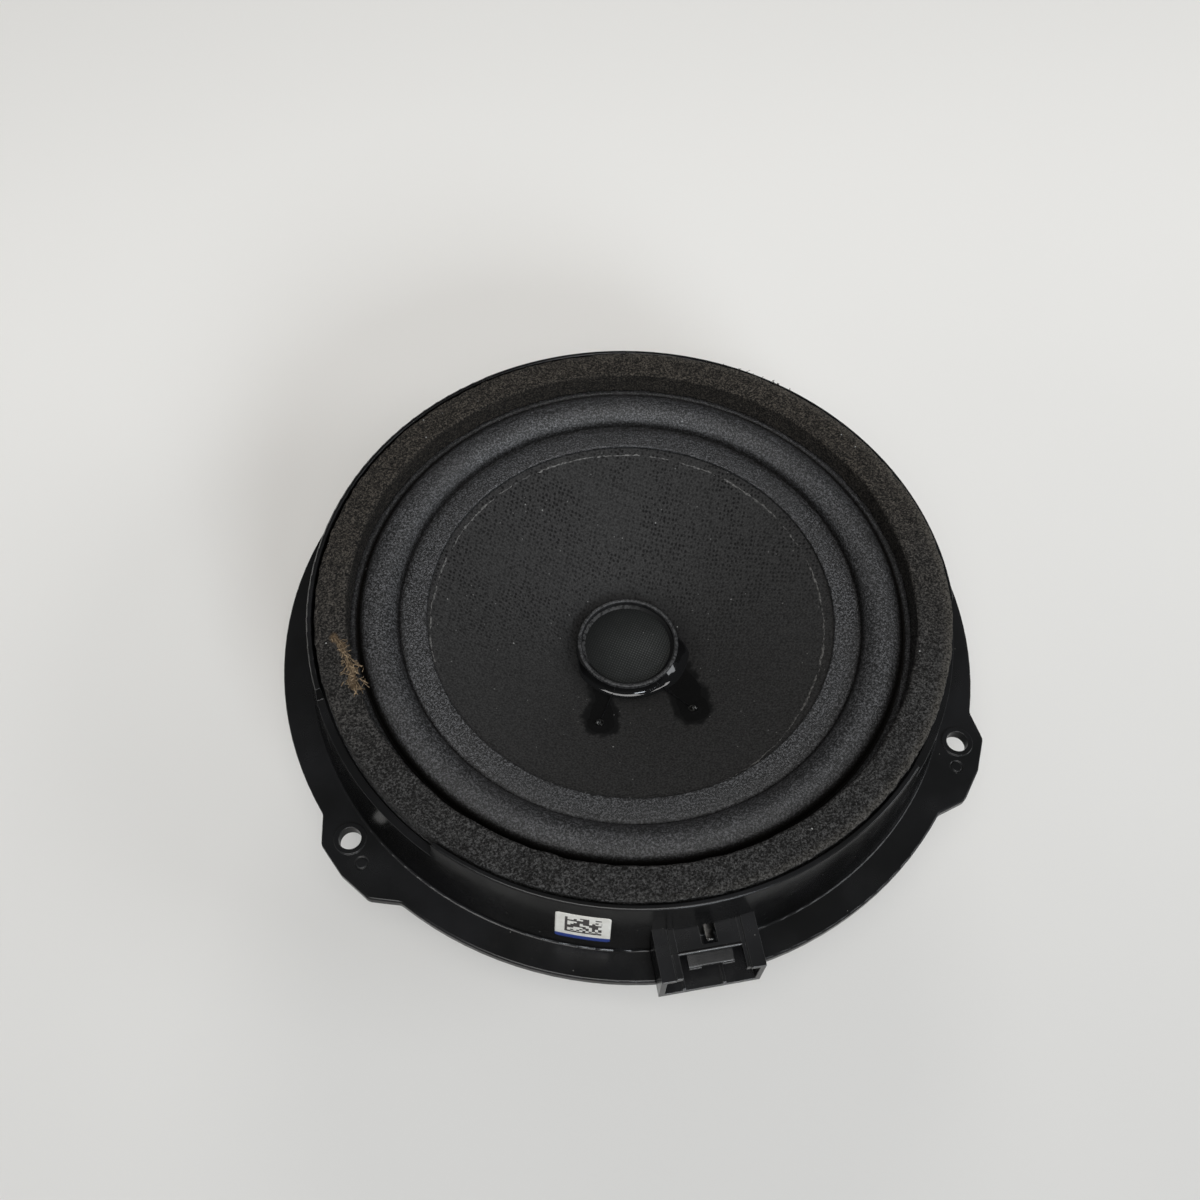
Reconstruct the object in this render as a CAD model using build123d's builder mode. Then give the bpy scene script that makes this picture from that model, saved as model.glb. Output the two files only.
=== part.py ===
"""Round 165 mm class car door speaker with a moulded plastic basket.

Frame: +Z points to the cabin, along the speaker axis. The origin is on that axis, at the
rear face of the mounting flange. The plug socket is on the -Y side. Millimetres.
"""
from build123d import *

import math
import os

# Mounting flange and screw lugs
FLANGE_R = 93.0
FLANGE_T = 3.0
FLANGE_EDGE = 0.5
SCREW_HOLE_R = 2.8
SCREW_CIRCLE_R = 90.9
LUG_ANGLES = (-150.0, -30.0, 90.0)
LUG_TIP_R = 97.3
LUG_NEAR = 2.0
LUG_FAR = 9.0
LUG_FLARE = 4.5
LUG_CROWN = 0.6
LUG_ROOT_IN = 0.4
LUG_ROUND_R = 2.6
BOSS_R = 4.0
BOSS_H = 0.4
EJECTOR_SWING = 4.3
EJECTOR_OUT = 1.6
EJECTOR_R = 1.7
EJECTOR_W = 0.45
EJECTOR_DEPTH = 0.3

# Outer wall, its top fence and the ledge inside it
WALL_BASE_R = 85.5
RIM_R = 82.9
RIM_Z = 26.0
FENCE_T = 1.3
WALL_T = 2.1
LEDGE_Z = 18.4
LEDGE_T = 2.0
LEDGE_INNER_R = 71.0
NOTCH_Z = 20.6
NOTCH_ARC = 35.0
NOTCH_MIDDLES = (-152.0, -28.0)
FLANGE_ROOT_R = 88.0
WALL_FOOT_ROUND = 0.5
RIM_ROUND = 0.5
FENCE_ROUND = 0.3

# Bowl, spider ledge and motor ring
BOWL_T = 2.0
BOWL_TOP_Z = 7.5
BOWL_LOW_R = 47.0
BOWL_LOW_Z = -9.5
SPIDER_LEDGE_Z = -12.6
SPIDER_LEDGE_R = 40.0
MOTOR_RING_Z = -16.0
MOTOR_RING_R = 33.0
PLATE_Z = -19.5
PLATE_T = 5.0
PLATE_R = 35.5
SPOKE_COUNT = 6
SPOKE_W = 11.0
WINDOW_R = (51.5, 68.5)
WINDOW_ROUND = 2.5
RIB_DEPTH = 2.5
RIB_BURY = 0.5
WEB_COUNT = 24
WEB_T = 1.6
WEB_Z = 1.0
WEB_BURY = 1.2
BOWL_ROUND = 1.0
SKIRT_T = 3.0
SKIRT_DROP = 3.5

# Motor
GAP_OUTER_R = 14.0
POLE_R = 12.35
GLUE_T = 0.15
MAGNET_R = 38.0
MAGNET_BORE_R = 18.0
MAGNET_T = 13.0
BACK_PLATE_R = 36.5
BACK_PLATE_T = 5.0
FILM_IN = 0.5
FILM_INNER_R = 20.0
PLATE_CHAMFER = 0.3
MAGNET_CHAMFER = 1.0
BACK_CHAMFER = 1.4
POLE_CHAMFER = 0.6
CENTRE_DENT_R = 6.0
CENTRE_DENT_DEPTH = 1.2
CENTRE_DENT_TAPER = 20

# Moving assembly
FORMER_R = 12.95
FORMER_T = 0.2
FORMER_LOW_Z = -28.5
WINDING_T = 0.55
WINDING_Z = (-27.5, -16.5)
COLLAR_R = 13.9
COLLAR_Z = (-7.0, -0.5)
CONE_T = 0.6
CONE_NECK_R = 13.95
CONE_NECK_Z = -4.6
CONE_BEND_R = 54.2
CONE_RIM_R = 58.4
CONE_RIM_Z = 17.35
CONE_BOW = 0.8
CAP_R = 12.7
CAP_Z = -2.7
CAP_RISE = 0.9
CAP_T = 0.4
CAP_SKIRT = 1.8
CAP_LIP = 0.1
COLLAR_ROUND = 0.35
WINDING_CHAMFER = 0.15
CONE_BACK_T = CONE_T * 1.12

# Surround, spider and gasket
LIP_R = 53.4
LIP_Z = 17.5
LIP_T = 0.9
ROLL_R = (60.0, 70.6)
ROLL_CREST_R = 65.2
ROLL_CREST_Z = 22.9
ROLL_T = 1.2
SEAT_R = 81.0
SEAT_T = 1.4
GASKET_INNER_R = 72.6
GASKET_T = 7.0
SPIDER_T = 0.5
SPIDER_Z = -12.3
SPIDER_INNER_R = 13.6
SPIDER_WAVES = 6
SPIDER_AMPLITUDE = 0.9
SPIDER_WAVE_R = (17.0, 39.0)
SPIDER_OUTER_R = 46.0

# Plug socket and terminals
SOCKET_X = 1.0
SOCKET_W = 24.2
SOCKET_Z = (2.2, 14.9)
SOCKET_Y = (-81.9, -95.6)
SOCKET_BACK_T = 1.7
POCKET_DEPTH = 16.1
POCKET_ALIGN = (Align.CENTER, Align.MAX, Align.CENTER)
BELOW = (Align.CENTER, Align.CENTER, Align.MAX)
BLADE_GAP = 0.9
SHELL_T = 1.3
FLOOR_T = 1.4
RAIL_W = 3.5
LIP_W = (1.5, 0.9)
LIP_DROP = 0.3
LIP_H = 1.8
BEAD_R = 0.42
GROOVE = 0.25
CAVITY_DEPTH = 20.0
CEILING_DROP = 0.5
CEILING_T = 1.2
CEILING_Y = -89.7
SLOT_W = 3.8
SLOT_X = 1.6
LATCH_X = 1.45
LATCH_W = 10.7
LATCH_Z = 10.9
LATCH_Y = -92.3
LATCH_T = 0.8
TAB_W = 2.9
TAB_T = 0.9
GUIDE_X = (-6.0, 3.6)
GUIDE_W = 0.8
SETBACK = 0.3
BLADE_W = 2.0
BLADE_T = 0.8
BLADE_PITCH = 4.0
BLADE_Z = 7.0
BLADE_TAPER = 0.7
BLADE_Y = (-66.0, -86.0)
BLADE_HOLE_R = 0.5
BLADE_HOLE_IN = 2.2

# Leads
HOLE_R = 27.8
HOLE_SWING = 26.5
EYELET_R = 1.1
WIRE_R = 0.16
LEAD_EXIT_Z = -3.75
LEAD_LIFT = 0.24
TINSEL_R = 0.55
SOLDER_R = 1.15
SOLDER_IN = 1.6
PATCH_T = 0.45
PATCH_ARC = 20.0
GLUE_LIFT = 0.03

# Label on the outer wall
LABEL_ANGLE = -108.3
LABEL_ARC = 8.8
LABEL_Z = (7.6, 20.9)
LABEL_T = 0.12
LABEL_LIFT = 0.02

CLEARANCE = 0.05
CUT_PAST = 1.0
PLATE_LOW_Z = PLATE_Z - PLATE_T
MAGNET_TOP_Z = PLATE_LOW_Z - GLUE_T
MAGNET_LOW_Z = MAGNET_TOP_Z - MAGNET_T
BACK_PLATE_Z = MAGNET_LOW_Z - GLUE_T
BACK_Z = BACK_PLATE_Z - BACK_PLATE_T
SEAT_Z = LEDGE_Z + CLEARANCE
SEAT_TOP_Z = SEAT_Z + SEAT_T
GASKET_Z = SEAT_TOP_Z + CLEARANCE


def cone_z(radius):
    """Height of the cone's front surface between its neck and its bend."""
    run = (radius - CONE_NECK_R) / (CONE_BEND_R - CONE_NECK_R)
    straight = CONE_NECK_Z + (CONE_RIM_Z - CONE_NECK_Z) * run
    return straight + 4 * CONE_BOW * run * (1 - run)


def wall_r(height):
    """Radius of the outer wall's drafted face at a height."""
    run = (height - FLANGE_T) / (RIM_Z - FLANGE_T)
    return WALL_BASE_R + (RIM_R - WALL_BASE_R) * run


def polar(radius, degrees):
    """Point in the XY plane at a radius and an angle from +X."""
    angle = math.radians(degrees)
    return (radius * math.cos(angle), radius * math.sin(angle))


def radial_plane(degrees):
    """Plane through the axis whose local x points outward and local y points up."""
    outward = (*polar(1, degrees), 0)
    return Plane(origin=(0, 0, 0), x_dir=outward, z_dir=(outward[1], -outward[0], 0))


def turn(points, rounds=()):
    """Revolve a closed outline of (radius, height) points, with some corners rounded."""
    with BuildSketch(Plane.XZ) as outline:
        with BuildLine():
            Polyline(*points, close=True)
        make_face()
        for corner, round_r in rounds:
            fillet(outline.vertices().sort_by_distance((*corner, 0))[0], round_r)
    revolve(outline.sketch, axis=Axis.Z)


def ring(inner, outer, low, high):
    """Flat ring about the axis."""
    turn([(inner, low), (outer, low), (outer, high), (inner, high)])


def save(builder, name):
    """Label a finished piece and write it as a STEP file."""
    builder.part.label = name
    export_step(builder.part, f"parts/{name}.step")


os.makedirs("parts", exist_ok=True)


# Basket: one moulding from the flange and outer wall to the motor ring.
def lug_outline(angle):
    """Outline of a screw lug, longer on the side towards the socket."""
    side = -1 if math.cos(math.radians(angle)) >= 0 else 1
    near = angle - side * LUG_NEAR
    far = angle + side * LUG_FAR
    root_r = WALL_BASE_R
    return [
        polar(root_r, near - side * LUG_FLARE),
        polar(FLANGE_R - LUG_ROOT_IN, near - side * LUG_FLARE),
        polar(LUG_TIP_R, near),
        polar(LUG_TIP_R + LUG_CROWN, (near + far) / 2),
        polar(LUG_TIP_R, far),
        polar(FLANGE_R - LUG_ROOT_IN, far + side * LUG_FLARE),
        polar(root_r, far + side * LUG_FLARE),
    ]


wall_inner_top = wall_r(LEDGE_Z - LEDGE_T) - WALL_T
wall_inner_low = wall_r(0) - WALL_T
bowl_outer_r = LEDGE_INNER_R + BOWL_T
bowl_slope = (BOWL_TOP_Z - BOWL_LOW_Z) / (LEDGE_INNER_R - BOWL_LOW_R)
bowl_back_z = BOWL_TOP_Z - BOWL_T * math.hypot(1, bowl_slope)
skirt_r = PLATE_R + CLEARANCE
skirt_outer_r = PLATE_R + SKIRT_T
skirt_low_z = PLATE_Z - SKIRT_DROP

bowl_foot = (BOWL_LOW_R + BOWL_T, SPIDER_LEDGE_Z - BOWL_T)
basket_rounds = (
    ((WALL_BASE_R, FLANGE_T), WALL_FOOT_ROUND),
    ((RIM_R, RIM_Z), RIM_ROUND),
    ((RIM_R - FENCE_T, RIM_Z), FENCE_ROUND),
    (bowl_foot, BOWL_ROUND),
)

with BuildPart() as basket:
    basket_outline = [
        (FLANGE_ROOT_R, 0),
        (FLANGE_ROOT_R, FLANGE_T),
        (WALL_BASE_R, FLANGE_T),
        (RIM_R, RIM_Z),
        (RIM_R - FENCE_T, RIM_Z),
        (RIM_R - FENCE_T, LEDGE_Z),
        (LEDGE_INNER_R, LEDGE_Z),
        (LEDGE_INNER_R, BOWL_TOP_Z),
        (BOWL_LOW_R, BOWL_LOW_Z),
        (BOWL_LOW_R, SPIDER_LEDGE_Z),
        (SPIDER_LEDGE_R, SPIDER_LEDGE_Z),
        (SPIDER_LEDGE_R, MOTOR_RING_Z),
        (MOTOR_RING_R, MOTOR_RING_Z),
        (MOTOR_RING_R, PLATE_Z),
        (skirt_r, PLATE_Z),
        (skirt_r, skirt_low_z),
        (skirt_outer_r, skirt_low_z),
        (skirt_outer_r, PLATE_Z),
        (SPIDER_LEDGE_R + BOWL_T, SPIDER_LEDGE_Z - BOWL_T),
        bowl_foot,
        (BOWL_LOW_R + BOWL_T, bowl_back_z - bowl_slope * (LEDGE_INNER_R - BOWL_LOW_R - BOWL_T)),
        (bowl_outer_r, bowl_back_z + bowl_slope * BOWL_T),
        (bowl_outer_r, LEDGE_Z - LEDGE_T),
        (wall_inner_top, LEDGE_Z - LEDGE_T),
        (wall_inner_low, 0),
    ]
    turn(basket_outline, basket_rounds)
    # Screw lugs, blended into the flange circle
    with BuildSketch() as lugs:
        Circle(FLANGE_R)
        for lug_angle in LUG_ANGLES:
            with BuildLine():
                Polyline(*lug_outline(lug_angle), close=True)
            make_face()
        Circle(WALL_BASE_R - WALL_T / 2, mode=Mode.SUBTRACT)
        outer_corners = lugs.vertices().filter_by(
            lambda vertex: math.hypot(vertex.X, vertex.Y) > FLANGE_R - CLEARANCE
        )
        fillet(outer_corners, radius=LUG_ROUND_R)
    extrude(amount=FLANGE_T)
    flange_edges = basket.edges().filter_by(
        lambda edge: min(math.hypot((edge @ at).X, (edge @ at).Y) for at in (0, 0.5, 1)) > FLANGE_R - 1
    )
    fillet(flange_edges.group_by(Axis.Z)[0] + flange_edges.group_by(Axis.Z)[-1], FLANGE_EDGE)
    # Windows of the bowl, between radial spokes
    with BuildSketch(Plane.XY.offset(BOWL_LOW_Z - 5 * CUT_PAST)) as windows:
        Circle(WINDOW_R[1])
        Circle(WINDOW_R[0], mode=Mode.SUBTRACT)
        with PolarLocations(0, SPOKE_COUNT, start_angle=-90):
            Rectangle(WINDOW_R[1] * 2, SPOKE_W, align=(Align.MIN, Align.CENTER), mode=Mode.SUBTRACT)
        fillet(windows.vertices(), radius=WINDOW_ROUND)
    extrude(amount=BOWL_TOP_Z - BOWL_LOW_Z + 6 * CUT_PAST, mode=Mode.SUBTRACT)
    # Spoke ribs behind the bowl, from the motor ring to the bowl's upright wall
    for spoke in range(SPOKE_COUNT):
        with BuildSketch(radial_plane(-90 + spoke * 360 / SPOKE_COUNT)):
            with BuildLine():
                Polyline(
                    (skirt_outer_r - RIB_BURY, skirt_low_z + RIB_DEPTH / 2),
                    (bowl_foot[0] - 2 * RIB_BURY, bowl_foot[1] - RIB_DEPTH),
                    (bowl_outer_r - RIB_BURY, bowl_back_z - RIB_DEPTH / 2),
                    (bowl_outer_r - RIB_BURY, bowl_back_z + BOWL_T),
                    (bowl_foot[0] - 2 * RIB_BURY, bowl_foot[1] + RIB_BURY),
                    (skirt_outer_r - RIB_BURY, PLATE_Z + 2 * RIB_BURY),
                    close=True,
                )
            make_face()
        extrude(amount=WEB_T / 2, both=True)
    # Webs across the hollow between the bowl's wall and the outer wall
    with BuildSketch(Plane.XY.offset(WEB_Z)):
        with PolarLocations(0, WEB_COUNT, start_angle=-90 + 180 / WEB_COUNT):
            with Locations(((bowl_outer_r + wall_inner_top) / 2, 0)):
                Rectangle(wall_inner_top - bowl_outer_r + 2 * WEB_BURY, WEB_T)
    extrude(amount=LEDGE_Z - LEDGE_T / 2 - WEB_Z)
    # Screw holes with their raised bosses
    for lug_angle in LUG_ANGLES:
        with BuildSketch(Plane.XY.offset(FLANGE_T)):
            with Locations(polar(SCREW_CIRCLE_R, lug_angle)):
                Circle(BOSS_R)
        extrude(amount=BOSS_H)
        with BuildSketch():
            with Locations(polar(SCREW_CIRCLE_R, lug_angle)):
                Circle(SCREW_HOLE_R)
        extrude(amount=FLANGE_T + CUT_PAST, mode=Mode.SUBTRACT)
        # Ejector pin mark beside the hole
        swing = -EJECTOR_SWING if math.cos(math.radians(lug_angle)) >= 0 else EJECTOR_SWING
        with BuildSketch(Plane.XY.offset(FLANGE_T - EJECTOR_DEPTH)):
            with Locations(polar(SCREW_CIRCLE_R + EJECTOR_OUT, lug_angle + swing)):
                Circle(EJECTOR_R)
                Circle(EJECTOR_R - EJECTOR_W, mode=Mode.SUBTRACT)
        extrude(amount=CUT_PAST, mode=Mode.SUBTRACT)
    # The fence is lower behind the two lugs nearest the socket
    for notch_middle in NOTCH_MIDDLES:
        with BuildSketch(radial_plane(notch_middle - NOTCH_ARC / 2)):
            with BuildLine():
                Polyline(
                    (SEAT_R + CLEARANCE, NOTCH_Z),
                    (WALL_BASE_R, NOTCH_Z),
                    (WALL_BASE_R, RIM_Z + CUT_PAST),
                    (SEAT_R + CLEARANCE, RIM_Z + CUT_PAST),
                    close=True,
                )
            make_face()
        revolve(axis=Axis.Z, revolution_arc=NOTCH_ARC, mode=Mode.SUBTRACT)
    # Pocket for the plug socket, and the slot its blades pass through
    pocket_w = SOCKET_W + 2 * CLEARANCE
    pocket_h = SOCKET_Z[1] - SOCKET_Z[0] + 2 * CLEARANCE
    with Locations((SOCKET_X, SOCKET_Y[0] + CLEARANCE, (SOCKET_Z[0] + SOCKET_Z[1]) / 2)):
        Box(pocket_w, POCKET_DEPTH, pocket_h, align=POCKET_ALIGN, mode=Mode.SUBTRACT)
    with Locations((SOCKET_X, -LEDGE_INNER_R - BOWL_T / 2, BLADE_Z + BLADE_GAP / 2)):
        Box(BLADE_PITCH + BLADE_W + 2 * BLADE_GAP, BOWL_T * 3, BLADE_T + 2 * BLADE_GAP, mode=Mode.SUBTRACT)
save(basket, "basket")


# Plug socket: an open-fronted shell with guide channels, a slotted ceiling and a latch ledge.
socket_mid_z = (SOCKET_Z[0] + SOCKET_Z[1]) / 2
socket_back_y = SOCKET_Y[0] - SOCKET_BACK_T
cavity_w = SOCKET_W - 2 * SHELL_T
cavity_top_z = SOCKET_Z[1] - SHELL_T
ceiling_z = SOCKET_Z[1] - CEILING_DROP
open_w = SOCKET_W - 2 * RAIL_W
channel_y = (socket_back_y + SOCKET_Y[1] + SETBACK) / 2
channel_l = socket_back_y - SOCKET_Y[1] - SETBACK
with BuildPart() as socket:
    with BuildSketch(Plane.XZ.offset(-SOCKET_Y[0])):
        with Locations((SOCKET_X, socket_mid_z)):
            Rectangle(SOCKET_W, SOCKET_Z[1] - SOCKET_Z[0])
    extrude(amount=SOCKET_Y[0] - SOCKET_Y[1])
    # Plug cavity
    with BuildSketch(Plane.XZ.offset(-socket_back_y)):
        with Locations((SOCKET_X, (SOCKET_Z[0] + FLOOR_T + cavity_top_z) / 2)):
            Rectangle(cavity_w, cavity_top_z - SOCKET_Z[0] - FLOOR_T)
    extrude(amount=CAVITY_DEPTH, mode=Mode.SUBTRACT)
    # Open top between the rails, in front of the ceiling
    with BuildSketch(Plane.XY.offset(cavity_top_z - CUT_PAST)):
        with Locations((SOCKET_X, (CEILING_Y + SOCKET_Y[1]) / 2 - CUT_PAST)):
            Rectangle(open_w, CEILING_Y - SOCKET_Y[1] + 2 * CUT_PAST)
    extrude(amount=CAVITY_DEPTH, mode=Mode.SUBTRACT)
    # Ceiling a little lower than the rails
    with BuildSketch(Plane.XY.offset(ceiling_z)):
        with Locations((SOCKET_X, (SOCKET_Y[0] + CEILING_Y) / 2)):
            Rectangle(open_w, CAVITY_DEPTH)
    extrude(amount=CAVITY_DEPTH, mode=Mode.SUBTRACT)
    # Slot through the ceiling
    with BuildSketch(Plane.XY.offset(cavity_top_z - CUT_PAST)):
        with Locations((SLOT_X, (socket_back_y + CEILING_Y + CEILING_T) / 2)):
            Rectangle(SLOT_W, socket_back_y - CEILING_Y - CEILING_T)
    extrude(amount=CAVITY_DEPTH, mode=Mode.SUBTRACT)
    # Inner lips that turn each rail into a guide channel, with a groove beside each rail
    guide_top_z = SOCKET_Z[1] - LIP_DROP
    for side, lip_w in zip((-1, 1), LIP_W):
        lip_x = SOCKET_X + side * (open_w - lip_w) / 2
        with Locations((lip_x, channel_y, guide_top_z - LIP_H / 2)):
            Box(lip_w, channel_l, LIP_H)
        with Locations((SOCKET_X + side * open_w / 2, channel_y, SOCKET_Z[1])):
            Box(GROOVE, CAVITY_DEPTH, 2 * (LIP_DROP + GROOVE), mode=Mode.SUBTRACT)
    # Bead along the ceiling's front edge
    with Locations(Location((SOCKET_X, CEILING_Y, ceiling_z - BEAD_R / 2), (0, 90, 0))):
        Cylinder(BEAD_R, open_w)
    # Latch ledge below the ceiling's front edge, with a tab at each end
    with BuildSketch(Plane.YZ.offset(LATCH_X - LATCH_W / 2)):
        with BuildLine():
            # The ledge hangs from the ceiling and falls a little to its front edge
            Polyline(
                (CEILING_Y + SHELL_T, ceiling_z - GROOVE),
                (CEILING_Y + BEAD_R, ceiling_z - GROOVE),
                (CEILING_Y + BEAD_R, LATCH_Z + LATCH_T),
                (LATCH_Y, LATCH_Z + LATCH_T / 2),
                (LATCH_Y, LATCH_Z - LATCH_T),
                (CEILING_Y + SHELL_T, LATCH_Z - LATCH_T),
                close=True,
            )
        make_face()
    extrude(amount=LATCH_W)
    for side in (-1, 1):
        with Locations((LATCH_X + side * (LATCH_W - TAB_W) / 2, LATCH_Y, LATCH_Z - TAB_T / 4)):
            Box(TAB_W, TAB_T, TAB_T)
    # Two low guide ribs on the floor
    for guide_x in GUIDE_X:
        with Locations((SOCKET_X + guide_x, channel_y, SOCKET_Z[0] + FLOOR_T)):
            Box(GUIDE_W, channel_l, GUIDE_W)
    # Blade slots through the back wall
    for side in (-1, 1):
        with Locations((SOCKET_X + side * BLADE_PITCH / 2, socket_back_y, BLADE_Z)):
            Box(BLADE_W, 3 * SOCKET_BACK_T, BLADE_T, mode=Mode.SUBTRACT)
save(socket, "connector_housing")


# Terminal blades with pointed tips and a solder hole at the inner end
with BuildPart() as blades:
    for side in (-1, 1):
        blade_x = SOCKET_X + side * BLADE_PITCH / 2
        half = BLADE_W / 2
        with BuildSketch(Plane.XY.offset(BLADE_Z - BLADE_T / 2)):
            with BuildLine():
                Polyline(
                    (blade_x - half, BLADE_Y[0]),
                    (blade_x + half, BLADE_Y[0]),
                    (blade_x + half, BLADE_Y[1] + BLADE_TAPER),
                    (blade_x + half - BLADE_TAPER / 2, BLADE_Y[1]),
                    (blade_x - half + BLADE_TAPER / 2, BLADE_Y[1]),
                    (blade_x - half, BLADE_Y[1] + BLADE_TAPER),
                    close=True,
                )
            make_face()
        extrude(amount=BLADE_T)
        with Locations((blade_x, BLADE_Y[0] - BLADE_HOLE_IN, BLADE_Z)):
            Cylinder(BLADE_HOLE_R, 2 * BLADE_T, mode=Mode.SUBTRACT)
    chamfer(blades.edges().group_by(Axis.Y)[0].filter_by(Axis.X), BLADE_T * 0.35)
save(blades, "terminal_blades")


# Motor: front plate, ring magnet, back plate with pole, and their adhesive films
with BuildPart() as top_plate:
    ring(GAP_OUTER_R, PLATE_R, PLATE_LOW_Z, PLATE_Z)
    chamfer(top_plate.edges().filter_by(GeomType.CIRCLE).group_by(SortBy.RADIUS)[0], PLATE_CHAMFER)
save(top_plate, "top_plate")

with BuildPart() as magnet:
    ring(MAGNET_BORE_R, MAGNET_R, MAGNET_LOW_Z, MAGNET_TOP_Z)
    chamfer(magnet.edges().filter_by(GeomType.CIRCLE).group_by(SortBy.RADIUS)[-1], MAGNET_CHAMFER)
save(magnet, "ring_magnet")

with BuildPart() as yoke:
    with BuildSketch(Plane.XY.offset(BACK_Z)):
        Circle(BACK_PLATE_R)
    extrude(amount=BACK_PLATE_T)
    chamfer(yoke.edges().group_by(Axis.Z)[0], BACK_CHAMFER)
    with BuildSketch(Plane.XY.offset(BACK_PLATE_Z)):
        Circle(POLE_R)
    extrude(amount=PLATE_Z - BACK_PLATE_Z)
    chamfer(yoke.edges().group_by(Axis.Z)[-1], POLE_CHAMFER)
    with BuildSketch(Plane.XY.offset(BACK_Z)):
        Circle(CENTRE_DENT_R)
    extrude(amount=CENTRE_DENT_DEPTH, taper=CENTRE_DENT_TAPER, mode=Mode.SUBTRACT)
save(yoke, "yoke")

with BuildPart() as motor_glue:
    ring(FILM_INNER_R, PLATE_R - FILM_IN, MAGNET_TOP_Z, PLATE_LOW_Z)
    ring(FILM_INNER_R, BACK_PLATE_R - FILM_IN, BACK_PLATE_Z, MAGNET_LOW_Z)
save(motor_glue, "motor_adhesive")


# Suspension: foam rubber surround, cloth spider and its glue
lip_top_z = LIP_Z + LIP_T
with BuildPart() as surround:
    with BuildSketch(Plane.XZ):
        with BuildLine():
            Polyline(
                (ROLL_R[0], LIP_Z + LIP_T - 0.3),
                (ROLL_R[0] - 0.9, lip_top_z),
                (LIP_R, lip_top_z),
                (LIP_R, LIP_Z),
                (ROLL_R[0] + 0.6, LIP_Z),
            )
            ThreePointArc(
                (ROLL_R[0] + 0.6, LIP_Z),
                (ROLL_CREST_R, ROLL_CREST_Z - ROLL_T),
                (ROLL_R[1] - 0.6, SEAT_Z),
            )
            Polyline(
                (ROLL_R[1] - 0.6, SEAT_Z),
                (SEAT_R, SEAT_Z),
                (SEAT_R, SEAT_TOP_Z),
                (ROLL_R[1] + 0.4, SEAT_TOP_Z),
                (ROLL_R[1], SEAT_TOP_Z - 0.2),
            )
            ThreePointArc(
                (ROLL_R[1], SEAT_TOP_Z - 0.2),
                (ROLL_CREST_R, ROLL_CREST_Z),
                (ROLL_R[0], LIP_Z + LIP_T - 0.3),
            )
        make_face()
    revolve(axis=Axis.Z)
save(surround, "surround")

with BuildPart() as gasket:
    ring(GASKET_INNER_R, SEAT_R, GASKET_Z, GASKET_Z + GASKET_T)
save(gasket, "foam_gasket")


def spider_curve(offset):
    """Points of the spider's corrugated run, moved along Z."""
    points = []
    steps = SPIDER_WAVES * 8
    for step in range(steps + 1):
        run = step / steps
        radius = SPIDER_WAVE_R[0] + (SPIDER_WAVE_R[1] - SPIDER_WAVE_R[0]) * run
        height = SPIDER_Z + offset + SPIDER_AMPLITUDE * math.sin(2 * math.pi * SPIDER_WAVES * run)
        points.append((radius, height))
    return points


with BuildPart() as spider:
    with BuildSketch(Plane.XZ):
        with BuildLine():
            top_run = spider_curve(SPIDER_T / 2)
            low_run = spider_curve(-SPIDER_T / 2)
            Polyline(
                *top_run,
                (SPIDER_OUTER_R, SPIDER_Z + SPIDER_T / 2),
                (SPIDER_OUTER_R, SPIDER_Z - SPIDER_T / 2),
                *reversed(low_run),
                (SPIDER_INNER_R, SPIDER_Z - SPIDER_T / 2),
                (SPIDER_INNER_R, SPIDER_Z + SPIDER_T / 2),
                close=True,
            )
        make_face()
    revolve(axis=Axis.Z)
save(spider, "spider")

spider_top_z = SPIDER_Z + SPIDER_T / 2
with BuildPart() as spider_bead:
    turn([
        (SPIDER_OUTER_R - 2.2, spider_top_z),
        (BOWL_LOW_R - CLEARANCE, spider_top_z),
        (BOWL_LOW_R - CLEARANCE, spider_top_z + 1.3),
        (SPIDER_OUTER_R - 0.6, spider_top_z + 0.8),
    ])
save(spider_bead, "spider_edge_glue")


# Voice coil: former, winding and the collar round the cone's neck
with BuildPart() as former:
    ring(FORMER_R - FORMER_T, FORMER_R, FORMER_LOW_Z, COLLAR_Z[1] - 0.3)
save(former, "voice_coil_former")

with BuildPart() as winding:
    ring(FORMER_R, FORMER_R + WINDING_T, WINDING_Z[0], WINDING_Z[1])
    chamfer(winding.edges().filter_by(GeomType.CIRCLE).group_by(SortBy.RADIUS)[-1], WINDING_CHAMFER)
save(winding, "coil_winding")


def lead_groove(low, high):
    """Cut the slots that the coil's lead-outs run up, in the current piece."""
    for side in (-1, 1):
        swing = -90 + side * HOLE_SWING
        with Locations(Location((*polar(FORMER_R, swing), (low + high) / 2), (0, 0, swing))):
            Box(3, 2 * WIRE_R + 0.12, high - low, mode=Mode.SUBTRACT)


with BuildPart() as collar:
    ring(FORMER_R, COLLAR_R, COLLAR_Z[0], COLLAR_Z[1])
    fillet(collar.edges().group_by(Axis.Z)[-1], COLLAR_ROUND)
    lead_groove(COLLAR_Z[0] - 1, LEAD_EXIT_Z + 0.4)
save(collar, "former_collar")

with BuildPart() as spider_neck:
    turn([
        (FORMER_R, spider_top_z + 0.1),
        (FORMER_R + 1.6, spider_top_z + 0.1),
        (FORMER_R + 0.5, spider_top_z + 1.1),
        (FORMER_R, spider_top_z + 1.6),
    ])
    lead_groove(spider_top_z - 1, spider_top_z + 3)
save(spider_neck, "spider_neck_glue")


# Cone with a flat glued rim, and a hole for each eyelet
cone_steps = 6
cone_front = [
    (
        CONE_NECK_R + (CONE_BEND_R - CONE_NECK_R) * step / cone_steps,
        cone_z(CONE_NECK_R + (CONE_BEND_R - CONE_NECK_R) * step / cone_steps),
    )
    for step in range(cone_steps + 1)
]
cone_back = [(radius, height - CONE_BACK_T) for radius, height in cone_front]
hole_z = cone_z(HOLE_R)
cone_tilt = math.degrees(math.atan2(cone_z(HOLE_R + 1) - cone_z(HOLE_R - 1), 2))


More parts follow.
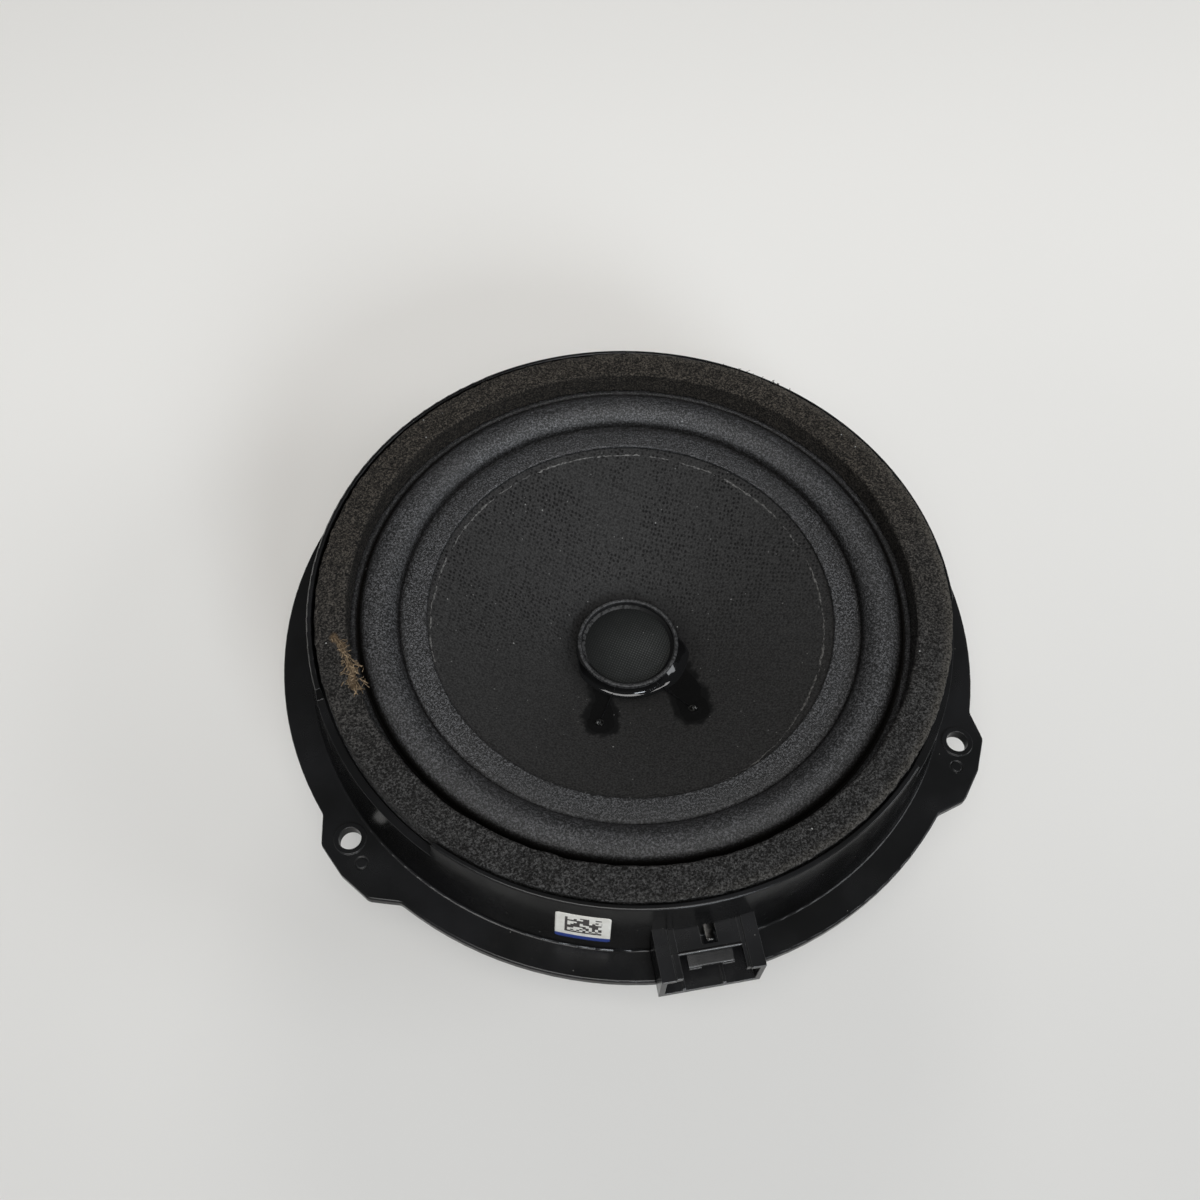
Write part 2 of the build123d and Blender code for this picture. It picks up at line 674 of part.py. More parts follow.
def eyelet_location(side):
    """Frame on the cone's front surface at a lead hole, its z along the surface normal."""
    swing = -90 + side * HOLE_SWING
    x, y = polar(HOLE_R, swing)
    return Location((x, y, hole_z), (0, 0, swing)) * Location((0, 0, 0), (0, -cone_tilt, 0))


with BuildPart() as cone:
    with BuildSketch(Plane.XZ):
        with BuildLine():
            Spline(*cone_front)
            Polyline(
                cone_front[-1],
                (CONE_RIM_R, CONE_RIM_Z),
                (CONE_RIM_R, CONE_RIM_Z - CONE_T),
                (CONE_BEND_R + 0.3, CONE_RIM_Z - CONE_T),
                cone_back[-1],
            )
            Spline(*reversed(cone_back))
            Line(cone_back[0], cone_front[0])
        make_face()
    revolve(axis=Axis.Z)
    for side in (-1, 1):
        with Locations(eyelet_location(side)):
            Cylinder(EYELET_R, 4, mode=Mode.SUBTRACT)
save(cone, "cone")

with BuildPart() as eyelets:
    for side in (-1, 1):
        with Locations(eyelet_location(side)):
            with Locations((0, 0, -0.3)):
                Cylinder(EYELET_R - 0.02, 1.4)
                Cylinder(EYELET_R - 0.35, 4, mode=Mode.SUBTRACT)
save(eyelets, "lead_eyelets")


# Dust cap inside the collar, a shallow dome on a short skirt, with its glue bead
dome_edge_r = CAP_R - CAP_T
dome_sphere_r = (dome_edge_r**2 + CAP_RISE**2) / (2 * CAP_RISE)
dome_centre_z = CAP_Z + CAP_RISE - dome_sphere_r
with BuildPart() as dust_cap:
    with Locations((0, 0, dome_centre_z)):
        Sphere(dome_sphere_r)
        Sphere(dome_sphere_r - CAP_T, mode=Mode.SUBTRACT)
    with BuildSketch(Plane.XY.offset(CAP_Z - CUT_PAST)):
        Circle(dome_edge_r + CAP_T / 2)
    extrude(amount=CAP_RISE + 2 * CUT_PAST, mode=Mode.INTERSECT)
    ring(dome_edge_r, CAP_R, CAP_Z - CAP_SKIRT, CAP_Z + CAP_LIP)
save(dust_cap, "dust_cap")

with BuildPart() as cap_bead:
    turn([
        (CAP_R - 0.9, CAP_Z + 0.25),
        (CAP_R - 0.1, CAP_Z + 0.1),
        (CAP_R, CAP_Z + 0.7),
        (CAP_R - 0.4, CAP_Z + 0.55),
    ])
save(cap_bead, "dust_cap_glue")


# Adhesive on the cone: a fillet round the collar, two lead patches and the edge bead
def cone_run(start_r, end_r, lift):
    """Points that follow the cone's front surface at a height above it."""
    steps = 5
    radii = [start_r + (end_r - start_r) * step / steps for step in range(steps + 1)]
    return [(radius, cone_z(radius) + lift) for radius in radii]


with BuildPart() as neck_glue:
    turn([
        (COLLAR_R, CONE_NECK_Z + GLUE_LIFT),
        *cone_run(CONE_NECK_R + 0.1, CONE_NECK_R + 2.2, GLUE_LIFT),
        (CONE_NECK_R + 1.0, CONE_NECK_Z + 1.3),
        (COLLAR_R, CONE_NECK_Z + 2.4),
    ])
save(neck_glue, "neck_adhesive")

patch_start_r = CONE_NECK_R + 2.4
patch_end_r = HOLE_R - EYELET_R - 0.3
with BuildPart() as patches:
    for side in (-1, 1):
        with BuildSketch(radial_plane(-90 + side * (HOLE_SWING + 2) - PATCH_ARC / 2)):
            with BuildLine():
                Polyline(
                    *cone_run(patch_start_r, patch_end_r, GLUE_LIFT),
                    *reversed(cone_run(patch_start_r, patch_end_r, PATCH_T)),
                    close=True,
                )
            make_face()
        revolve(axis=Axis.Z, revolution_arc=PATCH_ARC)
save(patches, "lead_adhesive")

bead_r = LIP_R - 1.8
with BuildPart() as edge_bead:
    turn([
        *cone_run(bead_r - 0.5, bead_r + 0.5, GLUE_LIFT),
        (bead_r, cone_z(bead_r) + 0.3),
    ])
save(edge_bead, "edge_glue")


# Wiring: coil lead-outs, braided tinsel leads and their solder joints
def wire(points, radius):
    """Round wire along a smooth path, in the current piece."""
    with BuildLine() as path:
        Spline(*points)
    with BuildSketch(Plane(origin=path.line @ 0, z_dir=path.line % 0)) as section:
        Circle(radius)
    sweep(section.sketch, path=path.line)


def at(radius, degrees, height):
    """Point at a radius, an angle and a height."""
    return (*polar(radius, degrees), height)


lead_r = FORMER_R + WIRE_R + 0.03
lead_end_r = HOLE_R - EYELET_R - 0.4
with BuildPart() as coil_leads:
    for side in (-1, 1):
        swing = -90 + side * HOLE_SWING
        with BuildLine(radial_plane(swing)) as lead_path:
            FilletPolyline(
                (lead_r, WINDING_Z[1]),
                (lead_r, LEAD_EXIT_Z),
                (CONE_NECK_R + 0.6, LEAD_EXIT_Z),
                (CONE_NECK_R + 6, cone_z(CONE_NECK_R + 6) + LEAD_LIFT),
                (lead_end_r, cone_z(lead_end_r) + LEAD_LIFT),
                radius=0.3,
            )
        with BuildSketch(Plane(origin=at(lead_r, swing, WINDING_Z[1]), z_dir=(0, 0, 1))):
            Circle(WIRE_R)
        sweep(path=lead_path.line)
save(coil_leads, "coil_leads")

eyelet_back = HOLE_R + 0.5
blade_end = (BLADE_Y[0] - 0.6, BLADE_Z + BLADE_T / 2 + TINSEL_R)
with BuildPart() as tinsel:
    for side in (-1, 1):
        swing = -90 + side * HOLE_SWING
        blade_x = SOCKET_X + side * BLADE_PITCH / 2
        wire(
            [
                at(eyelet_back, swing, hole_z - 2.4),
                at(HOLE_R + 6, swing + side * -2, hole_z - 4.2),
                (side * 10.5, -47.0, -1.5),
                (side * 5.5 + 0.6, -58.0, 4.6),
                (blade_x, BLADE_Y[0] + 2.2, blade_end[1] + 0.5),
                (blade_x, BLADE_Y[0] - 1.2, blade_end[1]),
            ],
            TINSEL_R,
        )
save(tinsel, "tinsel_leads")

with BuildPart() as solder:
    for side in (-1, 1):
        with Locations((SOCKET_X + side * BLADE_PITCH / 2, BLADE_Y[0] - SOLDER_IN, BLADE_Z + BLADE_T / 2)):
            Sphere(SOLDER_R)
            Box(3 * SOLDER_R, 3 * SOLDER_R, 2 * SOLDER_R, align=BELOW, mode=Mode.SUBTRACT)
save(solder, "solder_joints")


# Square label on the outer wall, left of the socket
with BuildPart() as label:
    with BuildSketch(radial_plane(LABEL_ANGLE - LABEL_ARC / 2)):
        with BuildLine():
            Polyline(
                (wall_r(LABEL_Z[0]) + LABEL_LIFT, LABEL_Z[0]),
                (wall_r(LABEL_Z[1]) + LABEL_LIFT, LABEL_Z[1]),
                (wall_r(LABEL_Z[1]) + LABEL_LIFT + LABEL_T, LABEL_Z[1]),
                (wall_r(LABEL_Z[0]) + LABEL_LIFT + LABEL_T, LABEL_Z[0]),
                close=True,
            )
        make_face()
    revolve(axis=Axis.Z, revolution_arc=LABEL_ARC)
save(label, "wall_label")
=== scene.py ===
"""Looks of the round car door speaker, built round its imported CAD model.

Metres throughout, in the CAD frame: +Z to the front, the plug socket on -Y.
"""

import math

import bpy
import numpy as np
from mathutils import Matrix, Vector


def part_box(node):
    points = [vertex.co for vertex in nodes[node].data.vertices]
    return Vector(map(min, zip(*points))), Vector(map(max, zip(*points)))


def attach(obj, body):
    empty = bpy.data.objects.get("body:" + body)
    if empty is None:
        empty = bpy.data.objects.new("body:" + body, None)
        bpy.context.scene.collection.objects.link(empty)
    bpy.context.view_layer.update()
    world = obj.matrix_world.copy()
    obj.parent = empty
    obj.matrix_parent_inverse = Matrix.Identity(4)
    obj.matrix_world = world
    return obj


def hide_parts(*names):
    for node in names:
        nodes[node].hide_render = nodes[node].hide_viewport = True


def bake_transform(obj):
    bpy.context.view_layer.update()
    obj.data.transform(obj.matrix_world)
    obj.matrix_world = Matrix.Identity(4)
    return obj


MM = 0.001
FRAME_BODY = "frame_body"
CONE_BODY = "cone_body"

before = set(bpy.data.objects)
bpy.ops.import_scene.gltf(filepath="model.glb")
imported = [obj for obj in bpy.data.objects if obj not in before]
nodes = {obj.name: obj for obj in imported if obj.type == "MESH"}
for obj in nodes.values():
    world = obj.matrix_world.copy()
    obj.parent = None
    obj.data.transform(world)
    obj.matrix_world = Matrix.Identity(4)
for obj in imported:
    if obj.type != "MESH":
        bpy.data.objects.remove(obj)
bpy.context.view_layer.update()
scene = bpy.context.scene


# ---------------------------------------------------------------- the CAD's own sizes

def mesh_points(mesh):
    """Every vertex of a mesh."""
    points = np.zeros(len(mesh.vertices) * 3, np.float32)
    mesh.vertices.foreach_get("co", points)
    return points.reshape(-1, 3).astype(float)


def node_points(node):
    """Every vertex of a CAD node."""
    return mesh_points(nodes[node].data)


def cad_profile(node):
    """Radius and height of every vertex of a CAD node."""
    points = node_points(node)
    return np.hypot(points[:, 0], points[:, 1]), points[:, 2]


def radii(node):
    """Smallest and largest radius of a CAD node."""
    radius, _ = cad_profile(node)
    return radius.min(), radius.max()


def heights(node):
    """Lowest and highest point of a CAD node."""
    low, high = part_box(node)
    return low.z, high.z


def fit_front(node, low_r, high_r):
    """Parabola that follows the front face of a dished CAD node between two radii."""
    radius, height = cad_profile(node)
    inside = (radius > low_r) & (radius < high_r)
    radius, height = radius[inside], height[inside]
    middle = np.polyfit(radius, height, 2)
    front = height > np.polyval(middle, radius)
    return np.polyfit(radius[front], height[front], 2)


cone_neck_r, cone_rim_r = radii("cone")
collar_r = radii("former_collar")[1]
lip_r, seat_r = radii("surround")
cone_bend_r = lip_r + 0.8 * MM
cone_fit = fit_front("cone", cone_neck_r + 0.1 * MM, cone_bend_r - 0.4 * MM)
cone_thickness = 0.6 * MM


def cone_front(radius):
    """Height of the cone's front face."""
    return np.polyval(cone_fit, radius)


# ---------------------------------------------------------------- repeatable noise

AXIS_PRIMES = np.array((73856093, 19349663, 83492791))


def hashed(cells, seed):
    """Random value in 0..1 for each whole-number cell."""
    mixed = np.bitwise_xor.reduce(cells * AXIS_PRIMES, axis=-1)
    mixed = (mixed ^ (seed * 668265263)) & 0xFFFFFFFF
    mixed = ((mixed ^ (mixed >> 15)) * 2246822519) & 0xFFFFFFFF
    mixed = ((mixed ^ (mixed >> 13)) * 3266489917) & 0xFFFFFFFF
    return ((mixed ^ (mixed >> 16)) & 0xFFFF) / 65535.0


def value_noise(points, cell, seed):
    """Smooth random values in -1..1 over points, varying over a cell size in millimetres."""
    grid = points / (cell * MM)
    base = np.floor(grid).astype(np.int64)
    part = grid - base
    part = part * part * (3 - 2 * part)
    total = np.zeros(len(points))
    for corner in np.ndindex(2, 2, 2):
        corner = np.array(corner)
        weight = np.prod(np.where(corner == 1, part, 1 - part), axis=1)
        total += weight * hashed(base + corner, seed)
    return 2 * total - 1


def cell_noise(points, cell, seed):
    """Distances to the nearest and second nearest random seed point, in cells of a size in millimetres."""
    grid = points / (cell * MM)
    base = np.floor(grid).astype(np.int64)
    nearest = np.full(len(points), 9.0)
    second = np.full(len(points), 9.0)
    for step in np.ndindex(3, 3, 3):
        home = base + np.array(step) - 1
        spot = home + np.stack([hashed(home, seed + axis) for axis in range(3)], axis=1)
        distance = np.linalg.norm(spot - grid, axis=1)
        second = np.minimum(second, np.maximum(nearest, distance))
        nearest = np.minimum(nearest, distance)
    return nearest, second


def smooth(low, high, value):
    """Smooth step from 0 at low to 1 at high."""
    part = np.clip((value - low) / (high - low), 0, 1)
    return part * part * (3 - 2 * part)


# ---------------------------------------------------------------- mesh building

def use(look, piece):
    """Give a piece a look."""
    piece.data.materials.clear()
    piece.data.materials.append(look.material)


def add_mesh(name, points, faces, body, look, replaces=()):
    """Smooth mesh piece with a look that rides on a body and stands for some CAD nodes."""
    mesh = bpy.data.meshes.new(name)
    mesh.from_pydata(np.asarray(points).tolist(), [], [list(face) for face in faces])
    mesh.polygons.foreach_set("use_smooth", [True] * len(mesh.polygons))
    mesh.update()
    piece = bpy.data.objects.new(name, mesh)
    scene.collection.objects.link(piece)
    use(look, piece)
    if body:
        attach(piece, body)
    if replaces:
        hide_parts(*replaces)
    return piece


def set_attribute(piece, name, values):
    """Store one number per vertex, for a material to read."""
    attribute = piece.data.attributes.new(name, "FLOAT", "POINT")
    attribute.data.foreach_set("value", np.asarray(values, np.float32))


def grid_faces(rows, columns, wrap_rows=False, wrap_columns=False):
    """Quads of a grid of rows by columns, joined to itself where it wraps."""
    row = np.arange(rows if wrap_rows else rows - 1)
    column = np.arange(columns if wrap_columns else columns - 1)
    row, column = [part.ravel() for part in np.meshgrid(row, column, indexing="ij")]
    next_row = (row + 1) % rows
    next_column = (column + 1) % columns
    corners = ((row, column), (next_row, column), (next_row, next_column), (row, next_column))
    return np.stack([r * columns + c for r, c in corners], axis=1)


def resample(outline, step):
    """Closed outline of (radius, height) with a point at about every step."""
    result = []
    for start, end in zip(outline, outline[1:] + outline[:1]):
        start, end = np.array(start), np.array(end)
        count = max(1, round(np.linalg.norm(end - start) / step))
        result += [tuple(start + (end - start) * part / count) for part in range(count)]
    return result


def arc_points(centre, radius, start, end, count):
    """Points of an elliptical arc in an outline, with angles in degrees."""
    angle = np.radians(np.linspace(start, end, count))
    across = centre[0] + radius[0] * np.cos(angle)
    up = centre[1] + radius[1] * np.sin(angle)
    return list(zip(across, up))


def whole_turn(count):
    """Evenly spaced angles of a whole turn."""
    return np.linspace(0, math.tau, count, endpoint=False)


def polar_grid(angle, radius, height):
    """Points with a row for each angle, at some radii and heights."""
    x = np.cos(angle)[:, None] * radius
    y = np.sin(angle)[:, None] * radius
    return np.stack([x, y, np.broadcast_to(height, x.shape)], axis=2).reshape(-1, 3)


def steps_from(radius, height, *steps):
    """Outline points at steps of millimetres from one point."""
    return [(radius + across * MM, height + up * MM) for across, up in steps]


def lathe(outline, segments):
    """Points and faces of a closed outline turned about the axis, one segment after another."""
    radius, height = np.array(outline).T
    points = polar_grid(whole_turn(segments), radius, height)
    return points, grid_faces(segments, len(outline), True, True)


def polar_of(points):
    """Radius and angle in degrees of points."""
    return np.hypot(points[:, 0], points[:, 1]), np.degrees(np.arctan2(points[:, 1], points[:, 0]))


def push_radial(points, amount):
    """Points moved outward from the axis."""
    radius, _ = polar_of(points)
    moved = points.copy()
    moved[:, :2] *= (1 + amount / radius)[:, None]
    return moved


def path_distance(flat, path):
    """Distance of points in the XY plane from a path of straight runs."""
    nearest = np.full(len(flat), 1.0)
    for start, end in zip(path, path[1:]):
        along = end - start
        part = np.clip((flat - start) @ along / (along @ along), 0, 1)
        nearest = np.minimum(nearest, np.linalg.norm(flat - start - part[:, None] * along, axis=1))
    return nearest


def leg_depth(flat, leg):
    """How far points lie inside a leg, a chain of circles (x, y, radius)."""
    depth = np.full(len(flat), -99.0)
    for start, end in zip(leg, leg[1:]):
        start, end = np.array(start), np.array(end)
        along = end[:2] - start[:2]
        part = np.clip((flat - start[:2]) @ along / (along @ along), 0, 1)
        distance = np.linalg.norm(flat - start[:2] - part[:, None] * along, axis=1)
        depth = np.maximum(depth, start[2] + (end[2] - start[2]) * part - distance)
    return depth


def tube(path, radius, sides, relief=None):
    """Points and faces of a closed round tube along a path; relief scales the radius by row and side."""
    path = np.asarray(path)
    along = np.gradient(path, axis=0)
    along /= np.linalg.norm(along, axis=1)[:, None]
    side = np.cross(along, (0.0, 0.0, 1.0))
    flat = np.linalg.norm(side, axis=1) < 0.05
    side[flat] = (1.0, 0.0, 0.0)
    side /= np.linalg.norm(side, axis=1)[:, None]
    up = np.cross(side, along)
    angle = whole_turn(sides)
    scale = np.ones((len(path), sides)) if relief is None else relief(np.arange(len(path)), angle)
    ring = np.cos(angle)[:, None] * side[:, None, :] + np.sin(angle)[:, None] * up[:, None, :]
    points = path[:, None, :] + ring * (radius * scale)[:, :, None]
    faces = grid_faces(len(path), sides, wrap_columns=True).tolist()
    last = (len(path) - 1) * sides
    faces += [list(range(sides)), [last + side_index for side_index in range(sides - 1, -1, -1)]]
    return points.reshape(-1, 3), faces


def join(parts):
    """One list of points and one of faces from several."""
    points, faces, start = [], [], 0
    for part_points, part_faces in parts:
        points.append(part_points)
        faces += [[index + start for index in face] for face in part_faces]
        start += len(part_points)
    return np.concatenate(points), faces


def compact(points, faces, *values):
    """Points that some face uses, faces renumbered to match, and the values at those points."""
    used = np.zeros(len(points), bool)
    used[faces.ravel()] = True
    renumber = np.cumsum(used) - 1
    return points[used], renumber[faces], *(value[used] for value in values)


def blend(piece):
    """Piece taken off any body, with its place baked into its mesh."""
    piece.parent = None
    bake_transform(piece)


def blend_radial(piece):
    """Piece taken off any body, like blend."""
    radius, _ = polar_of(mesh_points(piece.data))
    blend(piece)


# ---------------------------------------------------------------- material building

class Look:
    """A procedural material under construction; a value is a socket or a plain number."""

    def __init__(self, name, roughness=0.5, metallic=0.0, specular=0.5):
        self.slot = name
        self.material = bpy.data.materials.new(name)
        self.material.use_nodes = True
        self.tree = self.material.node_tree
        self.shader_inputs = self.tree.nodes["Principled BSDF"].inputs
        self.rough(roughness)
        self.metallic(metallic)
        self.specular(specular)
        self.place = self.node("ShaderNodeTexCoord").outputs["Object"]

    def node(self, kind, inputs=None, **settings):
        """New node with its settings, and its inputs by name or number."""
        made = self.tree.nodes.new(kind)
        for key, value in settings.items():
            setattr(made, key, value)
        for key, value in (inputs or {}).items():
            self.feed(made.inputs[key], value)
        return made

    def feed(self, target, value):
        """Link a socket, or set a plain value."""
        if isinstance(value, bpy.types.NodeSocket):
            self.tree.links.new(value, target)
        else:
            target.default_value = value

    def maths(self, operation, first, second=0.0):
        """Result of a maths node."""
        return self.node("ShaderNodeMath", {0: first, 1: second}, operation=operation).outputs[0]

    def times(self, first, second):
        """Product of two values."""
        return self.maths("MULTIPLY", first, second)

    def plus(self, first, second):
        """Sum of two values."""
        return self.maths("ADD", first, second)

    def inside(self, value, low, high):
        """1 where a value lies between two limits."""
        return self.times(self.maths("GREATER_THAN", value, low), self.maths("LESS_THAN", value, high))

    def part(self, vector, axis):
        """One component of a vector: 0, 1 or 2 for X, Y or Z."""
        return self.node("ShaderNodeSeparateXYZ", {0: vector}).outputs[axis]

    def noise(self, size, detail=2.0, roughness=0.5):
        """Noise in 0..1 whose features are about size millimetres across."""
        inputs = {"Vector": self.place, "Scale": 1 / (size * MM), "Detail": detail, "Roughness": roughness}
        return self.node("ShaderNodeTexNoise", inputs).outputs["Fac"]

    def cells(self, size, output="Distance", place=None, feature="F1", randomness=1.0):
        """Cell texture whose cells are about size millimetres across."""
        inputs = {"Vector": place or self.place, "Scale": 1 / (size * MM), "Randomness": randomness}
        return self.node("ShaderNodeTexVoronoi", inputs, feature=feature).outputs[output]

    def attribute(self, name):
        """Number stored per vertex under a name."""
        return self.node("ShaderNodeAttribute", attribute_name=name).outputs["Fac"]

    def between(self, value, low, high, to_low=0.0, to_high=1.0):
        """Value remapped smoothly from low..high."""
        inputs = {"Value": value, "From Min": low, "From Max": high, "To Min": to_low, "To Max": to_high}
        return self.node("ShaderNodeMapRange", inputs, interpolation_type="SMOOTHSTEP").outputs[0]

    def mix(self, factor, first, second):
        """Mix of two colours, each a socket or an (r, g, b)."""
        first, second = (
            value if isinstance(value, bpy.types.NodeSocket) else (*value, 1.0) for value in (first, second)
        )
        inputs = {"Factor": factor, 6: first, 7: second}
        return self.node("ShaderNodeMix", inputs, data_type="RGBA").outputs[2]

    def colour(self, value):
        self.base = value
        self.feed(self.shader_inputs["Base Color"], value)

    def cover(self, factor, colour):
        """Lay a colour over what is there, where a factor is high."""
        self.colour(self.mix(factor, self.base, colour))

    def rough(self, value):
        self.feed(self.shader_inputs["Roughness"], value)

    def metallic(self, value):
        self.feed(self.shader_inputs["Metallic"], value)

    def specular(self, value):
        self.feed(self.shader_inputs["Specular IOR Level"], value)

    def bump(self, height, distance, strength=1.0, under=None):
        """Bump of a height in 0..1 over a distance, on top of another normal."""
        inputs = {"Strength": strength, "Distance": distance, "Height": height}
        if under:
            inputs["Normal"] = under
        self.feed(self.shader_inputs["Normal"], self.node("ShaderNodeBump", inputs).outputs[0])

    def soft_edges(self, radius):
        """Normal that rounds sharp edges over a radius."""
        return self.node("ShaderNodeBevel", {"Radius": radius}, samples=8).outputs[0]

    def mapped(self, scale=(1, 1, 1), turn=0.0, move=(0, 0, 0)):
        """Object coordinates scaled, turned about Z by degrees and moved."""
        turned = (0, 0, math.radians(turn))
        inputs = {"Vector": self.place, "Location": move, "Rotation": turned, "Scale": scale}
        return self.node("ShaderNodeMapping", inputs).outputs[0]

    def specks(self, cell, size, share, flat=True):
        """1 on sparse round specks, at most one in each cell; flat ones ignore the height."""
        place = self.mapped((1, 1, 0)) if flat else self.place
        distance = self.cells(cell, place=place)
        pick = self.node("ShaderNodeSeparateColor", {0: self.cells(cell, "Color", place=place)})
        chosen = self.maths("GREATER_THAN", pick.outputs[0], 1 - share)
        return self.times(chosen, self.maths("LESS_THAN", distance, size / cell))

    def dust(self, colour, opacity, cell, size, share, flat=True):
        """Lay sparse specks of a colour over what is there."""
        self.cover(self.times(self.specks(cell, size, share, flat), opacity), colour)


def grey(level):
    """Neutral colour."""
    return (level, level, level)


# ---------------------------------------------------------------- materials

def moulded_plastic(name, tint=1.0, edge=0.35, shine=0.34):
    """Semi-gloss black moulded plastic with a fine grain, dull patches and dust; walls are duller and carry
    painted shade, and edges get a painted highlight.
    """
    look = Look(name, specular=0.32)
    cloud = look.noise(22, detail=4)
    dark, light = grey(0.0066 * tint), (0.0118 * tint, 0.0118 * tint, 0.0126 * tint)
    look.colour(look.mix(look.between(cloud, 0.35, 0.7), dark, light))
    grain = look.noise(0.25, detail=1)
    smear = look.noise(9, detail=3)
    look.rough(look.plus(look.between(smear, 0.3, 0.75, 0.14, 0.26), look.times(grain, 0.06)))
    flat_normal = look.node("ShaderNodeNewGeometry").outputs["Normal"]
    upward = look.between(look.part(flat_normal, 2), 0.15, 0.6)
    look.specular(look.between(upward, 0.0, 1.0, 0.15 * shine, shine))
    rounded = look.soft_edges(edge * MM)
    bend = look.node("ShaderNodeVectorMath", {0: flat_normal, 1: rounded}, operation="DOT_PRODUCT")
    # Painted shade: faces that do not face up are darkened towards black
    look.cover(look.between(upward, 0.0, 1.0, 0.60, 0.0), grey(0.0015))
    # Painted highlight: a lighter colour along the rounded edges
    look.cover(look.between(bend.outputs["Value"], 0.97, 0.80), grey(0.10 * shine))
    look.dust((0.30, 0.29, 0.27), 0.5, 3.5, 0.13, 0.6, flat=False)
    look.bump(grain, 0.003 * MM, under=rounded)
    return look


def open_cell_foam():
    """Brown-black open-cell foam: painted shade in its pits and cell hollows, lighter cell walls, edges
    partly rubbed and partly lit by painted light, painted shade on the inner wall, and dust.
    """
    look = Look("open_cell_foam", roughness=0.95, specular=0.2)
    fleck = look.noise(0.50, detail=4, roughness=0.8)
    walls = look.cells(0.9, feature="DISTANCE_TO_EDGE")
    cloud = look.times(look.noise(12, detail=3), 40 * MM)
    far_side = look.between(look.plus(look.part(look.place, 1), cloud), -40 * MM, 70 * MM)
    light = look.mix(far_side, (0.091, 0.0897, 0.0885), (0.108, 0.094, 0.078))
    patch = look.between(look.noise(1.9, detail=2), 0.3, 0.7, 0.72, 1.0)
    solid = look.times(look.between(fleck, 0.43, 0.61), patch)
    look.colour(look.mix(solid, (0.006, 0.0056, 0.0053), light))
    # Painted shade in the cell hollows
    hollow = look.between(walls, 0.12, 0.36, 0.0, 0.6)
    look.cover(hollow, (0.013, 0.0122, 0.0115))
    # Painted shade in the carved pits
    look.cover(look.attribute("pit"), (0.004, 0.0037, 0.0034))
    # Partly rubbed wear, partly painted light: the outer edge is lighter, most at the right
    rub_and_light_mask = look.times(look.attribute("rub_and_light"), look.between(fleck, 0.36, 0.58))
    look.cover(rub_and_light_mask, (0.108, 0.099, 0.085))
    tan = look.times(look.attribute("scuff"), look.between(fleck, 0.30, 0.50))
    look.cover(look.times(tan, 0.6), (0.17, 0.115, 0.065))
    look.dust((0.40, 0.40, 0.39), 0.9, 2.6, 0.21, 0.13)
    # Painted shade down the inner wall, darkest on the far side
    look.cover(look.attribute("inner_wall_shade"), (0.006, 0.0055, 0.005))
    height = look.maths("SUBTRACT", fleck, hollow)
    look.bump(height, 0.32 * MM, strength=0.9)
    return look


def foam_rubber():
    """Dark foamed rubber whose fine grain sparkles."""
    look = Look("surround_foam_rubber")
    grain = look.noise(0.50, detail=3, roughness=0.9)
    cloud = look.noise(14, detail=2)
    look.colour(look.mix(look.between(grain, 0.48, 0.60), (0.003, 0.003, 0.0031), (0.120, 0.1205, 0.126)))
    look.cover(look.between(cloud, 0.3, 0.8, 0.0, 0.25), (0.027, 0.025, 0.024))
    # Painted shade: the near side is darkened
    near_side_shade = look.between(look.part(look.place, 1), -20 * MM, -62 * MM, 0.0, 0.24)
    look.cover(near_side_shade, (0.006, 0.006, 0.0063))
    # Painted shade in the crease and groove of the roll
    look.cover(look.attribute("crease"), (0.005, 0.0045, 0.004))
    look.dust(grey(0.34), 0.8, 3.2, 0.17, 0.12)
    look.rough(look.between(grain, 0.38, 0.64, 0.50, 0.30))
    look.specular(look.between(look.attribute("crease"), 0.1, 0.9, 0.62, 0.05))
    look.bump(grain, 0.30 * MM, strength=0.8)
    return look


def pressed_cone():
    """Dark pressed paper, dimpled by the screen it was moulded on, with painted shade in the dimples; both
    are strongest on its far side, where the light shows them most.
    """
    look = Look("cone_paper", roughness=0.72, specular=0.16)
    screen = look.mapped((0.94, 0.82, 0.0), turn=24)
    wander = look.noise(2.4, detail=1)
    distance = look.cells(1.0, place=screen, randomness=0.38)
    dimple = look.between(look.plus(distance, look.times(wander, 0.12)), 0.22, 0.50)
    far_side = look.between(look.part(look.place, 1), -22 * MM, 26 * MM, 0.22, 1.0)
    patchy = look.between(look.noise(16, detail=2), 0.3, 0.6, 0.45, 1.0)
    depth = look.times(far_side, patchy)
    fibre = look.noise(0.50, detail=3, roughness=0.75)
    look.colour(look.mix(look.between(fibre, 0.32, 0.68), (0.015, 0.0146, 0.0144), (0.043, 0.0423, 0.0418)))
    # Painted shade in the dimples, strongest on the far side
    dark = look.times(look.maths("SUBTRACT", 1.0, dimple), depth)
    look.cover(look.times(dark, 0.92), grey(0.003))
    look.cover(look.attribute("soak"), look.mix(fibre, grey(0.003), grey(0.011)))
    look.cover(look.attribute("shade"), grey(0.009))
    look.dust((0.28, 0.28, 0.27), 0.40, 2.0, 0.17, 0.30)
    look.dust((0.28, 0.28, 0.27), 0.75, 5.2, 0.22, 0.40)
    height = look.plus(look.times(dimple, depth), look.times(fibre, 0.4))
    look.bump(height, 0.13 * MM, strength=0.9)
    return look


